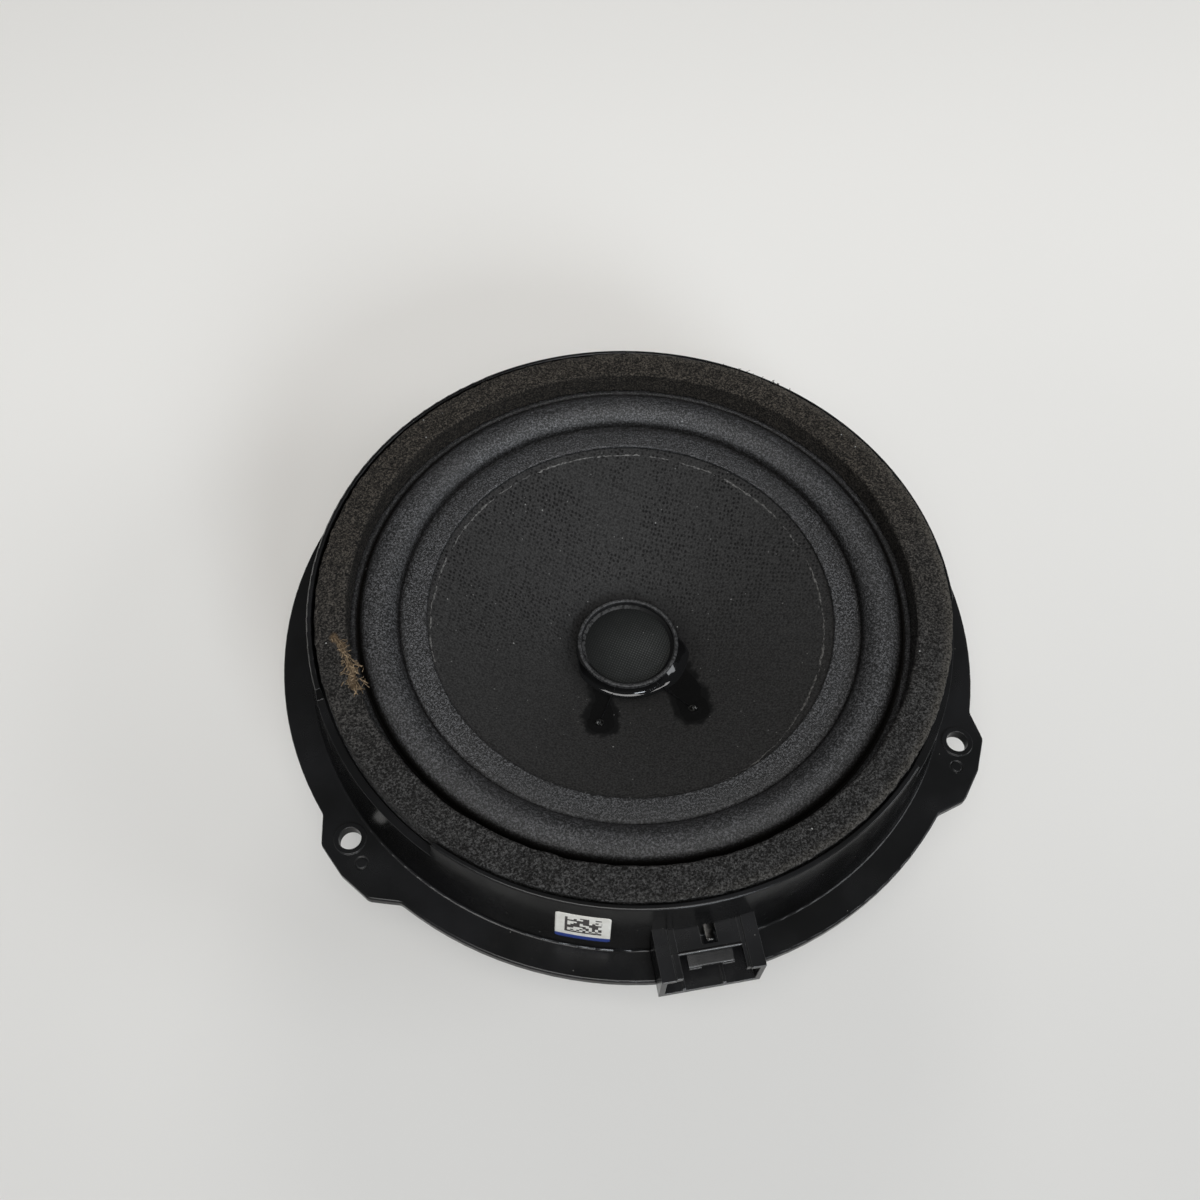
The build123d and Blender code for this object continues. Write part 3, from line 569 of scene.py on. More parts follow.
def cap_cloth():
    """Fine dark cloth of the dust cap, with a painted sheen that makes it greyer towards its near right
    side.
    """
    look = Look("cap_cloth", roughness=0.75, specular=0.2)
    pitch = 0.72 * MM
    threads = []
    for turn in (33.0, -57.0):
        inputs = {"Vector": look.mapped(turn=turn), "Scale": math.tau / (20 * pitch), "Distortion": 0.5}
        wave = look.node("ShaderNodeTexWave", inputs, wave_type="BANDS", bands_direction="X")
        threads.append(wave.outputs["Fac"])
    weave = look.times(*threads)
    middle = look.mapped((60, 60, 60), move=(-0.22, 0.16, 0.1))
    # Painted sheen: paler round a spot on the near right of the cap
    sheen_crown = look.node("ShaderNodeTexGradient", {"Vector": middle}, gradient_type="SPHERICAL")
    cloud = look.noise(5)
    pale = look.times(sheen_crown.outputs["Fac"], look.between(cloud, 0.2, 0.7, 0.7, 1.0))
    look.colour(look.mix(pale, (0.006, 0.0062, 0.0062), (0.060, 0.0625, 0.0605)))
    look.cover(look.between(weave, 0.10, 0.7, 0.72, 0.0), (0.006, 0.007, 0.0065))
    look.dust((0.27, 0.27, 0.26), 0.5, 2.6, 0.13, 0.22)
    look.bump(weave, 0.06 * MM, strength=0.7)
    return look


def card():
    """Dark card of the collar."""
    look = Look("collar_paper", roughness=0.55, specular=0.4)
    fibre = look.noise(0.7, detail=3)
    look.colour(look.mix(look.between(fibre, 0.35, 0.65), (0.014, 0.014, 0.0145), (0.060, 0.060, 0.061)))
    look.bump(fibre, 0.05 * MM, strength=0.6)
    return look


def spread_glue():
    """Black glue: glossy where it is thick, dull where it has soaked into the paper."""
    look = Look("black_glue", specular=0.55)
    lump = look.noise(0.50, detail=3, roughness=0.75)
    wave = look.noise(3.0, detail=1)
    thick = look.attribute("thick")
    look.colour(look.mix(lump, grey(0.003), grey(0.011)))
    look.cover(thick, (0.004, 0.004, 0.0043))
    look.rough(look.between(thick, 0.10, 0.5, 0.62, 0.07))
    look.specular(look.between(thick, 0.10, 0.5, 0.06, 0.6))
    thin_bump = look.times(lump, look.maths("SUBTRACT", 1.0, thick))
    look.bump(look.plus(thin_bump, look.times(wave, 0.8)), 0.09 * MM, strength=0.6)
    return look


def seam_glue():
    """Dark bead round the dust cap, with a painted highlight in pale dashes on its far left side."""
    look = Look("seam_glue", roughness=0.6, specular=0.15)
    side = look.maths("SUBTRACT", look.part(look.place, 1), look.times(look.part(look.place, 0), 0.9))
    dash = look.between(look.noise(0.9, detail=2), 0.36, 0.62)
    shine = look.times(look.between(side, 3 * MM, 12 * MM), dash)
    # Painted highlight: pale dashes on the far left of the bead
    look.colour(look.mix(shine, (0.006, 0.006, 0.0062), grey(0.046)))
    return look


def glossy_glue(name, dark, light, gloss, lump_size=1.8):
    """Cured adhesive: glossy, a little lumpy."""
    look = Look(name, specular=0.6)
    lump = look.noise(lump_size, detail=2)
    look.colour(look.mix(look.between(lump, 0.35, 0.65), dark, light))
    look.rough(look.between(look.noise(3, detail=2), 0.35, 0.7, gloss, gloss + 0.25))
    look.bump(lump, 0.10 * MM, strength=0.5)
    return look


def metal(name, colour_low, colour_high, roughness, grain=1.5, dull=0.0):
    """Metal with a cloudy finish, fine scratches and some dulling."""
    look = Look(name, metallic=1.0 - dull)
    cloud = look.noise(grain * 4, detail=4)
    fine = look.noise(grain * 0.5, detail=3, roughness=0.7)
    tone = look.plus(look.times(cloud, 0.5), look.times(fine, 0.5))
    look.colour(look.mix(look.between(tone, 0.35, 0.65), colour_low, colour_high))
    scratch = look.noise(grain * 0.12, detail=2)
    look.rough(look.between(tone, 0.3, 0.7, roughness, roughness + 0.08))
    look.bump(scratch, 0.01 * MM, under=look.soft_edges(0.25 * MM))
    return look


def ferrite():
    """Sintered ferrite: dull dark grey, slightly pitted."""
    look = Look("ferrite", roughness=0.62, specular=0.45)
    pit = look.noise(0.8, detail=4)
    cloud = look.noise(15, detail=3)
    look.colour(look.mix(look.between(cloud, 0.3, 0.7), (0.020, 0.020, 0.022), (0.042, 0.042, 0.045)))
    look.cover(look.between(pit, 0.62, 0.72), (0.075, 0.075, 0.078))
    look.bump(pit, 0.10 * MM, strength=0.5, under=look.soft_edges(0.4 * MM))
    return look


def woven(name, dark, light, pitch):
    """Plain woven cloth, seen along and across."""
    look = Look(name, roughness=0.8, specular=0.2)
    cell = look.cells(pitch, randomness=0.25)
    look.colour(look.mix(look.between(cell, 0.15, 0.6), light, dark))
    look.bump(cell, 0.08 * MM, strength=0.8)
    return look


def label_paper():
    """Off-white label: a block of random squares, which holds no code, over a blue strip."""
    look = Look("label_paper", roughness=0.45, specular=0.45)
    across, up = look.attribute("label_u"), look.attribute("label_v")
    squares, strip_top, half_bar = 18, 0.145, 0.024
    block_across, block_up = (0.18, 0.84), (0.27, 0.88)
    snapped = [look.maths("FLOOR", look.times(value, squares)) for value in (across, up)]
    square = look.node("ShaderNodeCombineXYZ", dict(enumerate(snapped))).outputs[0]
    dots = look.node("ShaderNodeTexWhiteNoise", {"Vector": square}, noise_dimensions="2D")
    ink = look.maths("GREATER_THAN", dots.outputs["Value"], 0.48)
    in_block = [look.inside(across, *block_across), look.inside(up, *block_up)]
    ink = look.times(ink, look.times(*in_block))
    # Solid bars down the block's left side and along its foot
    for value, start, beside in ((across, block_across[0], in_block[1]), (up, block_up[0], in_block[0])):
        middle = start + 0.02
        bar = look.inside(value, middle - half_bar, middle + half_bar)
        ink = look.maths("MAXIMUM", ink, look.times(bar, beside))
    soil = look.noise(2.5, detail=3)
    look.colour(look.mix(look.between(soil, 0.3, 0.75), (0.70, 0.69, 0.65), (0.60, 0.585, 0.54)))
    look.cover(ink, (0.03, 0.025, 0.025))
    blue = look.maths("LESS_THAN", up, strip_top)
    look.cover(blue, (0.012, 0.035, 0.20))
    look.bump(soil, 0.02 * MM, strength=0.4)
    return look


def braid():
    """Braided copper lead, coated black where it is glued into its hole."""
    look = Look("braided_lead", roughness=0.32)
    coat = look.attribute("coat")
    cloud = look.noise(3.0, detail=3)
    copper = look.mix(look.between(cloud, 0.35, 0.65), (0.42, 0.30, 0.18), (0.62, 0.50, 0.36))
    wet = look.noise(0.5, detail=2)
    black = look.mix(look.between(wet, 0.50, 0.62), grey(0.004), (0.10, 0.10, 0.098))
    look.colour(look.mix(coat, copper, black))
    look.metallic(look.maths("SUBTRACT", 1.0, coat))
    look.bump(wet, 0.04 * MM, strength=0.5)
    return look


def torn_fibre():
    """Torn fibre: dark foam strands to tan paper, by the stored tone."""
    look = Look("torn_fibre", roughness=0.9, specular=0.15)
    # The record has no slot of its own for fibres
    look.slot = "open_cell_foam"
    fleck = look.noise(0.8, detail=2)
    tan = look.mix(look.between(fleck, 0.35, 0.65), (0.16, 0.11, 0.065), (0.40, 0.30, 0.19))
    look.colour(look.mix(look.attribute("tone"), (0.02, 0.018, 0.017), tan))
    return look


# ---------------------------------------------------------------- pieces

# Each lean: middle and spread in degrees, and size in millimetres
GASKET_LEAN = ((2, 34, 1.35), (56, 22, 0.75), (-90, 40, 0.3))
SCUFF_PATH = np.array(((-75.8, -1.6), (-74.3, -5.0), (-73.2, -8.6), (-72.5, -11.6), (-71.6, -16.4))) * MM


def build_gasket():
    """Open-cell foam ring with pitted faces, a ragged leaning outer edge, a rubbed scuff, an outer edge
    made lighter by wear and painted light, and painted shade in its pits and on its inner wall.
    """
    inner_r, outer_r = radii("foam_gasket")
    low, high = heights("foam_gasket")
    rim_top = heights("basket")[1]
    corner, fine, spacing = 0.8 * MM, 0.36 * MM, 0.38 * MM
    outer_band, inner_band, side_pit = 2.2 * MM, 1.5 * MM, 0.28 * MM
    pit_size, pit_mm, sink_mm = 0.95, 0.30, 0.10
    outline = [(inner_r, low), (outer_r, low)]
    outline += arc_points((outer_r - corner, high - corner), (corner, corner), 0, 90, 4)
    outline += arc_points((inner_r + corner, high - corner), (corner, corner), 90, 180, 4)
    points, faces = lathe(resample(outline, fine), round(math.tau * outer_r / spacing))
    radius, angle = polar_of(points)
    outward = smooth(outer_r - outer_band, outer_r, radius)
    inward = 1 - smooth(inner_r, inner_r + inner_band, radius)
    top = smooth(high - 0.9 * MM, high - 0.1 * MM, points[:, 2])
    # Above the fence the foam leans over it, most of all towards +X
    lean = sum(size * np.exp(-(((angle - middle) / spread) ** 2)) for middle, spread, size in GASKET_LEAN)
    above = smooth(rim_top - 0.7 * MM, rim_top, points[:, 2]) * smooth(inner_r + 2 * MM, outer_r, radius)
    points = push_radial(points, lean * above * MM)
    # Ragged outer face and slightly wavy inner face
    ragged = value_noise(points, 2.2, 3) * 0.28 + value_noise(points, 7, 4) * 0.22
    points = push_radial(points, (ragged * 0.8 - 0.15) * MM * outward)
    points = push_radial(points, (value_noise(points, 3.5, 5) * 0.25 + 0.15) * MM * inward)
    # Pits
    nearest, second = cell_noise(points, pit_size, 11)
    pit = smooth(0.10, 0.42, second - nearest) * (value_noise(points, 1.9, 12) * 0.5 + 0.55)
    pit = np.clip(pit, 0, 1)
    points[:, 2] -= (pit_mm * pit + sink_mm * (1 + value_noise(points, 5, 13))) * MM * top
    side = np.where(radius > (inner_r + outer_r) / 2, -1, 1) * (1 - top)
    points = push_radial(points, side_pit * pit * side)
    piece = add_mesh("foam_gasket_cells", points, faces, FRAME_BODY, open_cell_foam(), ["foam_gasket"])
    # Painted shade for the pits, which the foam's colour darkens
    set_attribute(piece, "pit", pit * 0.75)
    # Rubbed and lit by painted light most at the right; painted shade down the inner wall, darkest on the
    # far side
    side_rub_and_light = np.cos(np.radians(angle - 2)) * 0.6 + 0.2
    edge_rub_and_light = np.clip(side_rub_and_light, 0, 1) * smooth(outer_r - 3.0 * MM, outer_r, radius)
    set_attribute(piece, "rub_and_light", edge_rub_and_light * top)
    far_side = smooth(-0.2, 0.8, np.sin(np.radians(angle)))
    set_attribute(piece, "inner_wall_shade", (0.20 + 0.22 * far_side) * inward * (1 - top))
    from_scuff = path_distance(points[:, :2], SCUFF_PATH) + value_noise(points, 2.0, 14) * 1.1 * MM
    set_attribute(piece, "scuff", 1 - smooth(0.1 * MM, 1.3 * MM, from_scuff))


def build_surround():
    """Foam rubber surround: flat glued lip, crease, half roll and outer seat."""
    low, crest_z = heights("surround")
    radius, height = cad_profile("surround")
    crest_r = radius[height.argmax()]
    lip_top = height[radius < lip_r + 0.5 * MM].max()
    seat_top = height[radius > seat_r - 0.5 * MM].max()
    seat_low = height[radius > seat_r - 0.5 * MM].min()
    half, skin, lip_round = 5.2 * MM, 1.1 * MM, 0.3 * MM
    inner_drop, outer_drop = 0.5 * MM, 0.6 * MM
    inner_foot, outer_foot = crest_r - half, crest_r + half
    outline = [(lip_r, low), (lip_r - 0.05 * MM, lip_top - 0.35 * MM)]
    outline += arc_points((lip_r + lip_round, lip_top - lip_round), (lip_round, lip_round), 160, 90, 4)
    outline += steps_from(inner_foot, lip_top, (-2.0, 0.05), (-0.9, -0.10), (-0.35, -0.35))
    # The roll: a quarter up from the lip and a quarter down to the seat
    foot = lip_top - inner_drop
    outline += arc_points((crest_r, foot), (half, crest_z - lip_top + inner_drop), 176, 90, 22)
    foot = seat_top - outer_drop
    outline += arc_points((crest_r, foot), (half, crest_z - seat_top + outer_drop), 84, 4, 22)
    # The bead at the roll's outer foot, then the seat
    outline += steps_from(outer_foot, seat_top, (0.5, -0.5), (0.9, 0.15), (1.35, 0.35), (1.9, 0.0))
    outline += [(seat_r, seat_top), (seat_r, seat_low), (outer_foot + 0.3 * MM, seat_low)]
    # The hollow under the roll
    foot = seat_low - inner_drop
    outline += arc_points((crest_r, foot), (half - skin, crest_z - skin - seat_low + inner_drop), 8, 90, 10)
    outline += arc_points((crest_r, low), (half - skin, crest_z - skin - low), 98, 178, 10)
    points, faces = lathe(outline, 900)
    radius, _ = polar_of(points)
    front = points[:, 2] > (low + lip_top) / 2
    wobble = value_noise(points, 9, 21) * 0.06 + value_noise(points, 2.4, 22) * 0.025
    points[:, 2] += wobble * MM * front * smooth(lip_r, lip_r + 1 * MM, radius)
    piece = add_mesh("surround_roll", points, faces, None, foam_rubber(), ["surround"])
    # Painted shade in the crease inside the roll and in the groove outside it
    crease = 1 - smooth(0, 1.1 * MM, np.abs(radius - inner_foot))
    groove_shade = smooth(outer_foot - 2.3 * MM, outer_foot - 0.3 * MM, radius)
    groove_shade = groove_shade * (1 - 0.65 * smooth(outer_foot + 0.5 * MM, outer_foot + 1.0 * MM, radius))
    set_attribute(piece, "crease", np.clip(crease * 0.8 + groove_shade, 0, 1))
    blend_radial(piece)


EYELET_COVER_R = 0.95 * MM
GLUE_LEGS = (
    ((-9.8, -12.0, 3.3), (-10.2, -17.0, 3.4), (-12.0, -24.8, 5.0)),
    ((11.3, -10.0, 4.4), (12.6, -18.0, 4.5), (12.4, -26.0, 5.0)),
)


def eyelet_places():
    """Middle of each eyelet, left one first."""
    points = node_points("lead_eyelets")
    return [points[points[:, 0] * side > 0].mean(axis=0) for side in (-1, 1)]


def build_cone():
    """Pressed cone, thin, open at the lead holes, with its flat rim under the surround's lip."""
    rim_top = heights("cone")[1]
    run = np.linspace(cone_neck_r, cone_bend_r, 130)
    front = [(radius, cone_front(radius)) for radius in run]
    back = [(radius, cone_front(radius) - cone_thickness * 1.12) for radius in run[::-1]]
    rim_low = rim_top - cone_thickness
    outline = front + [(cone_bend_r + 0.5 * MM, rim_top), (cone_rim_r, rim_top)]
    outline += [(cone_rim_r, rim_low), (cone_bend_r + 0.6 * MM, rim_low)] + back
    points, faces = lathe(outline, 720)
    kept = np.ones(len(faces), bool)
    for eyelet in eyelet_places():
        covered = np.linalg.norm(points[:, :2] - eyelet[:2], axis=1) < EYELET_COVER_R
        kept &= ~covered[faces].all(axis=1)
    radius, _ = polar_of(points)
    flat = points[:, :2] / MM
    wander = value_noise(points, 2.2, 45) * 0.9 + value_noise(points, 0.7, 46) * 0.45
    soaked = np.maximum(*[leg_depth(flat, leg) for leg in GLUE_LEGS]) + wander
    near_neck = 1 - smooth(cone_neck_r, cone_neck_r + 9 * MM, radius)
    points, faces, soaked, near_neck = compact(points, faces[kept], soaked, near_neck)
    piece = add_mesh("cone_pressed", points, faces, CONE_BODY, pressed_cone(), ["cone"])
    set_attribute(piece, "soak", smooth(-0.9, 0.5, soaked))
    set_attribute(piece, "shade", 0.55 * near_neck)


def build_edge_glue():
    """Thin broken line of pale glue on the cone, just inside the surround's lip."""
    count, across = 2600, 7
    angle = whole_turn(count)
    ring = polar_grid(angle, np.array([lip_r]), 0.0)
    degrees = np.degrees(angle)
    # Gap to the lip in millimetres: widest at the right, and closed at the near left
    gap = 1.75 + 0.45 * np.cos(np.radians(degrees - 5)) - 0.25 * np.cos(2 * np.radians(degrees - 90))
    gap = gap * (1 - 0.92 * smooth(0.15, 0.85, np.cos(np.radians(degrees + 125))))
    gap = gap + 0.16 * value_noise(ring, 2.6, 31) + 0.14 * value_noise(ring, 0.9, 32)
    width = 0.16 + 0.20 * value_noise(ring, 0.8, 33) + 0.11 * value_noise(ring, 5, 34)
    width = np.clip(width, 0.0, 0.6)
    least_gap, least_width = 0.45, 0.045
    shown = (gap > least_gap) & (width > least_width)
    offset = np.linspace(-1, 1, across)
    radius = lip_r - gap[:, None] * MM + offset * width[:, None] * MM
    lift = (0.16 * np.sqrt(np.clip(1 - offset**2, 0, 1)) - 0.03)[None, :] * MM
    height = cone_front(radius) + lift * (0.5 + width[:, None])
    points = polar_grid(angle, radius, height)
    faces = grid_faces(count, across, wrap_rows=True)
    faces = faces[shown[faces[:, 0] // across] & shown[faces[:, 1] // across]]
    points, faces = compact(points, faces)
    look = glossy_glue("edge_glue", (0.028, 0.0275, 0.027), (0.125, 0.122, 0.116), 0.6, lump_size=0.7)
    add_mesh("edge_glue_line", points, faces, CONE_BODY, look, ["edge_glue"])


def build_black_glue():
    """Black glue: a glossy fillet round the collar's front and a thin leg down to each lead hole."""
    inner_r, fillet_r, outer_r, step = collar_r / MM, 17.5, 33.5, 0.18
    radius = np.concatenate([np.linspace(inner_r, fillet_r, 40), np.arange(fillet_r + 0.15, outer_r, step)])
    degrees = np.arange(-200.0, 14.0, 0.6)
    solid = polar_grid(np.radians(degrees), radius, 0.0)
    flat = solid[:, :2].copy()
    solid *= MM
    turn = np.repeat(degrees, len(radius))
    from_ring = np.tile(radius - inner_r, len(degrees))
    wander = value_noise(solid, 3.0, 41) * 0.45 + value_noise(solid, 1.0, 42) * 0.18
    # Fillet, tall at the front and thinning out on both sides
    facing = smooth(-178, -150, turn) * (1 - smooth(-22, 10, turn))
    right = smooth(-80, -45, turn)
    width = 0.5 + (2.0 + 1.0 * right) * facing + 0.25 * value_noise(solid, 5, 44)
    height = 0.3 + (2.7 + 0.5 * right) * facing
    hollow = np.clip(1 - from_ring / width, 0, 1)
    fillet = height * hollow ** (2.1 - 0.75 * right)
    depth = np.maximum(*[leg_depth(flat, leg) for leg in GLUE_LEGS]) + wander
    leg_edge, leg_height, sunk = 0.5, 0.10, 0.03
    thickness = fillet + leg_height * smooth(leg_edge, 2.4, depth) - sunk
    inside = (depth > leg_edge) | (from_ring < width)
    opening = np.zeros(len(flat), bool)
    for eyelet in eyelet_places():
        distance = np.linalg.norm(flat - eyelet[:2] / MM, axis=1)
        # A low ridge round the eyelet
        thickness += 0.16 * np.exp(-(((distance - 1.5) / 0.5) ** 2))
        opening |= distance < EYELET_COVER_R / MM
    points = solid.copy()
    points[:, 2] = cone_front(np.tile(radius, len(degrees)) * MM) + thickness * MM
    faces = grid_faces(len(degrees), len(radius))
    faces = faces[inside[faces].any(axis=1) & ~opening[faces].any(axis=1)]
    points, faces, thick = compact(points, faces, np.clip(4 * fillet + hollow, 0, 1))
    hidden = ["neck_adhesive", "lead_adhesive"]
    piece = add_mesh("black_glue_patches", points, faces, CONE_BODY, spread_glue(), hidden)
    set_attribute(piece, "thick", thick)


LEAD_STEP = 0.12 * MM


def lead_path(side, eyelet):
    """Middle line of a CAD tinsel lead, carried up through its eyelet and bent over."""
    points = node_points("tinsel_leads")
    points = points[points[:, 0] * side > 0]
    slice_count = 25
    edges = np.linspace(points[:, 1].max(), points[:, 1].min(), slice_count + 1)
    slices = [points[(points[:, 1] <= high) & (points[:, 1] > low)] for high, low in zip(edges, edges[1:])]
    middle = [cut.mean(axis=0) for cut in slices if len(cut)]
    over_top = ((0.9 * side, -0.5, 1.0), (0.35 * side, 0.0, 1.35), (0.0, 0.1, 0.6))
    through = ((0.0, 0.0, 0.0), (0.0, -0.3, -1.6))
    start = [eyelet + np.array(step) * MM for step in over_top + through]
    rough = np.array(start + middle[2:])
    length = np.concatenate([[0], np.cumsum(np.linalg.norm(np.diff(rough, axis=0), axis=1))])
    fine = np.arange(0, length[-1], LEAD_STEP)
    line = np.stack([np.interp(fine, length, rough[:, axis]) for axis in range(3)], axis=1)
    # Round off the corners with a moving average
    reach = 6
    kernel = np.hanning(2 * reach + 1)
    kernel = kernel / kernel.sum()
    padded = np.pad(line, ((reach, reach), (0, 0)), mode="edge")
    return np.stack([np.convolve(padded[:, axis], kernel, mode="valid") for axis in range(3)], axis=1)


def braid_relief(rows, angle):
    """Crossing strands of a braided lead."""
    twist, depth = 0.42, 0.18
    left = np.abs(np.sin(2 * angle[None, :] + twist * rows[:, None]))
    right = np.abs(np.sin(2 * angle[None, :] - twist * rows[:, None]))
    return 1 - depth + depth * np.maximum(left, right)


def build_tinsel():
    """Braided leads that run from the cone to the terminals."""
    radius, sides, coat_end, bare_start = 0.52 * MM, 16, 2.4 * MM, 4.0 * MM
    parts, weights, coat = [], [], []
    for side, eyelet in zip((-1, 1), eyelet_places()):
        path = lead_path(side, eyelet)
        parts.append(tube(path, radius, sides, braid_relief))
        run = np.linspace(0, 1, len(path))
        weights.append(np.repeat(1 - smooth(0.12, 0.92, run), sides))
        length = np.arange(len(path)) * LEAD_STEP
        coat.append(np.repeat(1 - smooth(coat_end, bare_start, length), sides))
    points, faces = join(parts)
    piece = add_mesh("tinsel_braid", points, faces, None, braid(), ["tinsel_leads"])
    set_attribute(piece, "coat", np.concatenate(coat))
    blend(piece)


def fibre(random, start, heading, length, droop):
    """Wandering thin fibre as a tube."""
    steps = 9
    path = [np.array(start)]
    for _ in range(steps):
        heading = heading + random.normal(0, 0.35, 3) * (1, 1, 0.25)
        heading = heading / np.linalg.norm(heading)
        path.append(path[-1] + heading * length / steps)
        heading = heading - np.array((0, 0, droop))
    return tube(path, random.uniform(0.05, 0.12) * MM, 5)


def build_fibres():
    """Torn tan fibres of the scuff, and a few dark strands at the gasket's far right edge."""
    random = np.random.default_rng(7)
    top = heights("foam_gasket")[1]
    outer_r = radii("foam_gasket")[1]
    scuff_fibres, edge_fibres = 95, 26
    parts, tone = [], []
    along = np.diff(SCUFF_PATH, axis=0)
    for _ in range(scuff_fibres):
        run = random.choice(len(along), p=(0.15, 0.2, 0.25, 0.4))
        spot = SCUFF_PATH[run] + along[run] * random.random() + random.normal(0, (0.4 + 0.25 * run) * MM, 2)
        turn = math.atan2(along[run][1], along[run][0]) + random.normal(0, 0.55)
        heading = np.array((math.cos(turn), math.sin(turn), random.normal(0, 0.10)))
        start = (*spot, top + random.uniform(-0.15, 0.20) * MM)
        parts.append(fibre(random, start, heading, random.uniform(1.0, 3.2) * MM, 0.02))
        tone.append(random.uniform(0.5, 1.0))
    for _ in range(edge_fibres):
        turn = math.radians(random.choice((47, 55)) + random.normal(0, 2.5))
        radius = outer_r + 0.6 * MM
        start = (radius * math.cos(turn), radius * math.sin(turn), top - random.uniform(0.2, 1.2) * MM)
        across, along_y = (turn + random.normal(0, 0.7) for _ in range(2))
        heading = np.array((math.cos(across), math.sin(along_y), 0.3))
        parts.append(fibre(random, start, heading, random.uniform(0.7, 1.9) * MM, 0.05))
        tone.append(0.0)
    counts = [len(part[0]) for part in parts]
    points, faces = join(parts)
    piece = add_mesh("gasket_fibres", points, faces, FRAME_BODY, torn_fibre())
    set_attribute(piece, "tone", np.repeat(tone, counts))


def build_spider():
    """Corrugated cloth spider."""
    inner_r, outer_r = radii("spider")
    low, high = heights("spider")
    middle, half = (low + high) / 2, 0.25 * MM
    wave_start, wave_end, waves, swing = 17 * MM, 39 * MM, 6, (high - low) / 2 - half
    radius = np.linspace(inner_r, outer_r, 110)
    run = np.clip((radius - wave_start) / (wave_end - wave_start), 0, 1)
    height = middle + swing * np.sin(math.tau * waves * run)
    outline = list(zip(radius, height + half)) + list(zip(radius[::-1], (height - half)[::-1]))
    points, faces = lathe(outline, 480)
    look = woven("spider_cloth", (0.16, 0.10, 0.035), (0.42, 0.29, 0.11), 0.7)
    piece = add_mesh("spider_cloth", points, faces, None, look, ["spider"])
    blend_radial(piece)


def build_label():
    """Square label bent to the wall, with rounded corners."""
    low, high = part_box("wall_label")
    radius, height = cad_profile("wall_label")
    _, angle = polar_of(node_points("wall_label"))
    low_a, high_a = angle.min(), angle.max()
    foot, head = (radius[np.abs(height - z) < 0.1 * MM] for z in (low.z, high.z))
    slope = head.max() - foot.max()
    size = 40
    across, up = np.meshgrid(np.linspace(0, 1, size), np.linspace(0, 1, size), indexing="ij")
    # Rounded corners: the ends of the upright edges draw in
    corner = 0.06
    past = np.clip(corner - np.minimum(up, 1 - up), 0, None) / corner
    draw_in = corner * (1 - np.sqrt(np.clip(1 - past**2, 0, 1)))
    turn = np.radians(low_a + (high_a - low_a) * (across + draw_in * (1 - 2 * across)))
    z = low.z + (high.z - low.z) * up
    layers = []
    for base in (foot.max(), foot.min()):
        wall = base + slope * up
        layers.append(np.stack([wall * np.cos(turn), wall * np.sin(turn), z], axis=2).reshape(-1, 3))
    # Both layers, and a rim that joins their borders
    faces = grid_faces(size, size)
    count = size * size
    ids = np.arange(count).reshape(size, size)
    border = np.concatenate([ids[:, 0], ids[-1, 1:], ids[-2::-1, -1], ids[0, -2:0:-1]])
    following = np.roll(border, -1)
    rim = np.stack([border, following, following + count, border + count], axis=1)
    faces = np.concatenate([faces[:, ::-1], faces + count, rim])
    points = np.concatenate(layers)
    piece = add_mesh("wall_label_paper", points, faces, FRAME_BODY, label_paper(), ["wall_label"])
    set_attribute(piece, "label_u", np.concatenate([across.ravel()] * 2))
    set_attribute(piece, "label_v", np.concatenate([up.ravel()] * 2))


build_gasket()
build_surround()
build_cone()
build_edge_glue()
build_black_glue()
build_spider()
build_label()
build_tinsel()
build_fibres()

steel_look = metal("zinc_plated_steel", (0.50, 0.50, 0.48), (0.58, 0.58, 0.555), 0.34)
brown_glue = glossy_glue("clear_brown_glue", (0.05, 0.028, 0.012), (0.11, 0.065, 0.03), 0.25)
NODE_LOOKS = {
    "basket": moulded_plastic("basket_plastic"),
    "connector_housing": moulded_plastic("socket_plastic", tint=1.15, edge=0.28, shine=0.6),
    "terminal_blades": metal("tinned_blade", (0.20, 0.195, 0.19), (0.38, 0.37, 0.35), 0.16),
    "top_plate": steel_look,
    "yoke": steel_look,
    "ring_magnet": ferrite(),
    "motor_adhesive": brown_glue,
    "spider_edge_glue": brown_glue,
    "spider_neck_glue": brown_glue,
    "solder_joints": metal("solder", grey(0.50), grey(0.70), 0.22),
    "voice_coil_former": glossy_glue("former_film", grey(0.006), (0.010, 0.010, 0.011), 0.35),
    "coil_winding": metal("copper_wire", (0.52, 0.18, 0.06), (0.70, 0.30, 0.12), 0.30),
    "coil_leads": glossy_glue("coated_wire", (0.004, 0.004, 0.0045), (0.008, 0.008, 0.009), 0.2),
    "former_collar": card(),
    "dust_cap": cap_cloth(),
    "dust_cap_glue": seam_glue(),
    "lead_eyelets": metal("glued_eyelet", grey(0.006), (0.035, 0.034, 0.032), 0.3, grain=0.25, dull=0.6),
}
for node_name, node_look in NODE_LOOKS.items():
    use(node_look, nodes[node_name])


# ---------------------------------------------------------------- stage, light and camera

def build_stage():
    """Pale floor under the magnet, with painted light that makes it paler away from the camera."""
    half_width = 6.0
    floor_z = heights("yoke")[0]
    corners = [(x * half_width, y * half_width, floor_z) for x, y in ((-1, -1), (1, -1), (1, 1), (-1, 1))]
    mesh = bpy.data.meshes.new("floor")
    mesh.from_pydata(corners, [], [(0, 1, 2, 3)])
    floor = bpy.data.objects.new("floor", mesh)
    scene.collection.objects.link(floor)
    look = Look("floor_paint", roughness=0.6, specular=0.25)
    # Painted light: paler away from the camera, with a slight cloudiness
    near_y, far_y = -0.26, 0.32
    cloud = look.times(look.noise(250, detail=3), 0.08)
    floor_light_falloff = look.between(look.plus(look.part(look.place, 1), cloud), near_y, far_y)
    look.colour(look.mix(floor_light_falloff, (0.600, 0.591, 0.574), (0.985, 0.967, 0.934)))
    use(look, floor)


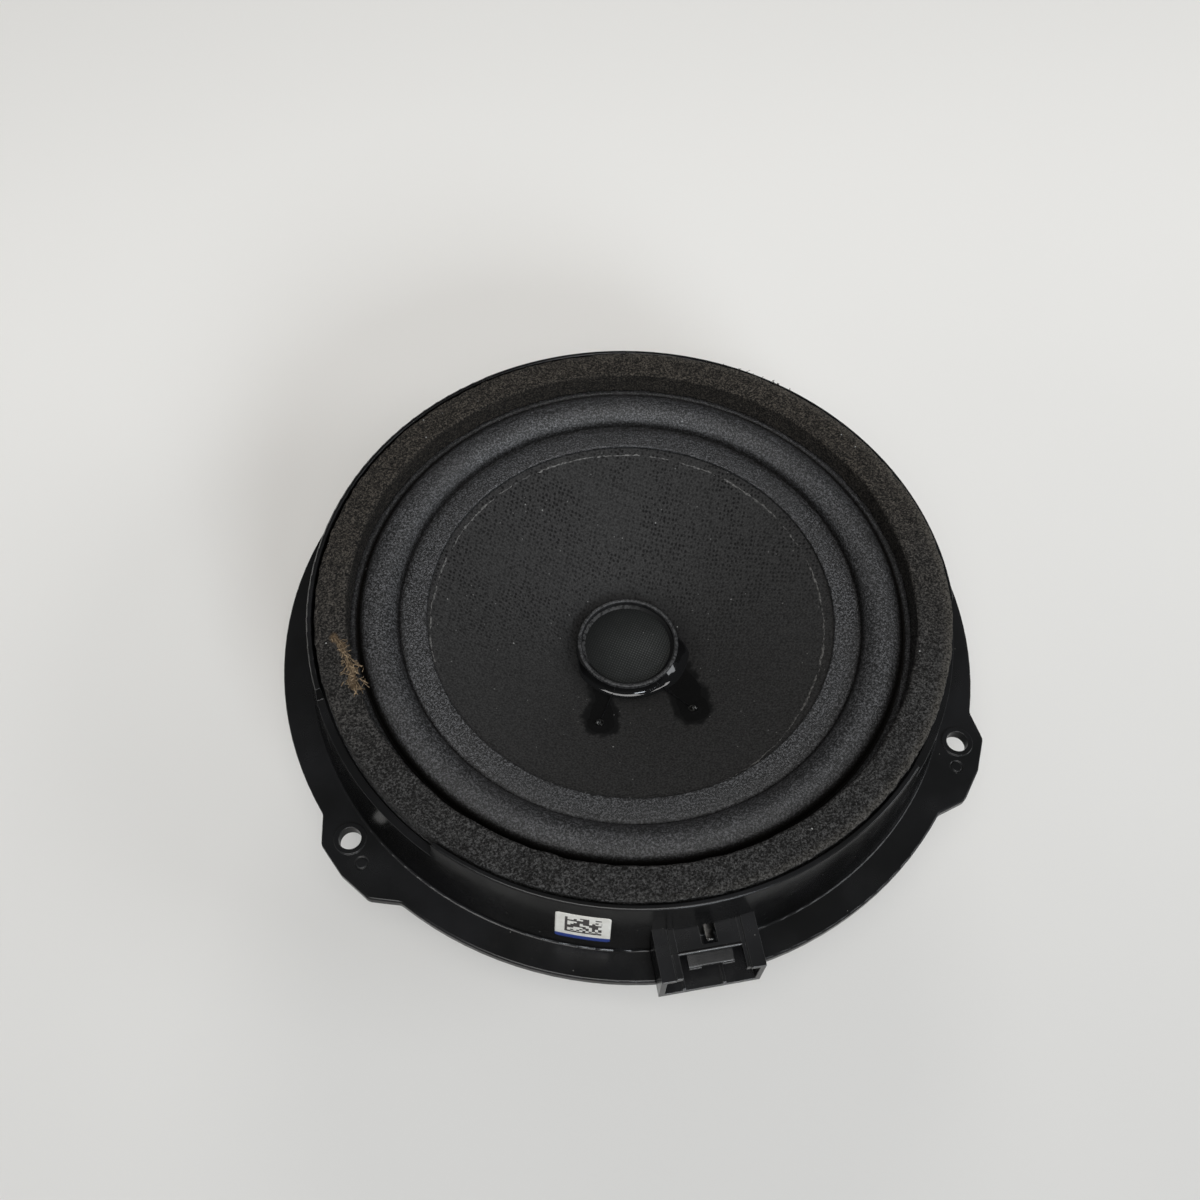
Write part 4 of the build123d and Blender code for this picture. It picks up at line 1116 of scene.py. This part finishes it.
def add_area(name, place, size, power, colour):
    """Soft square light aimed at the middle of the mounting plane."""
    data = bpy.data.lights.new(name, "AREA")
    data.size = size
    data.energy = power
    data.color = colour
    lamp = bpy.data.objects.new(name, data)
    lamp.location = place
    lamp.rotation_mode = "QUATERNION"
    lamp.rotation_quaternion = (-Vector(place)).to_track_quat("-Z", "Y")
    scene.collection.objects.link(lamp)
    return lamp


def build_light():
    """Faint daylight, a broad ceiling light and low windows in front, at the right and far away."""
    world = bpy.data.worlds.new("world")
    world.use_nodes = True
    background = world.node_tree.nodes["Background"]
    background.inputs["Color"].default_value = (0.93, 0.97, 1.0, 1.0)
    background.inputs["Strength"].default_value = 0.10
    scene.world = world
    scene.view_settings.view_transform = "Standard"
    add_area("ceiling_light", (-0.25, -0.80, 1.7), size=1.2, power=23.5, colour=(1.0, 0.99, 0.975))
    add_area("front_window", (0.30, -1.35, 0.75), size=0.45, power=9.5, colour=(0.88, 0.94, 1.0))
    add_area("right_window", (1.45, -0.55, 0.90), size=0.70, power=6.5, colour=(0.94, 0.97, 1.0))
    far_colour = (1.0, 0.98, 0.95)
    far_light = add_area("far_window", (0.6, 2.6, 1.35), size=1.2, power=15, colour=far_colour)
    # Glossy rays don't see it, or it would whiten the near slopes
    far_light.visible_glossy = False


CAMERA_PLACE = Vector((-42.0, -156.7, 288.4)) * MM
CAMERA_TURN, CAMERA_TILT, CAMERA_ROLL = -12.11, 31.22, 2.35
CAMERA_LENS = CAMERA_SENSOR = 36.0


def build_camera():
    """Hand-held view from the front left, looking down."""
    data = bpy.data.cameras.new("camera")
    data.sensor_width = CAMERA_SENSOR
    data.lens = CAMERA_LENS
    data.clip_start = 0.01
    camera = bpy.data.objects.new("camera", data)
    turns = [
        Matrix.Rotation(math.radians(angle), 4, axis)
        for angle, axis in ((CAMERA_TURN, "Z"), (CAMERA_TILT, "X"), (CAMERA_ROLL, "Z"))
    ]
    camera.matrix_world = Matrix.Translation(CAMERA_PLACE) @ turns[0] @ turns[1] @ turns[2]
    scene.collection.objects.link(camera)
    scene.camera = camera


build_stage()
build_light()
build_camera()
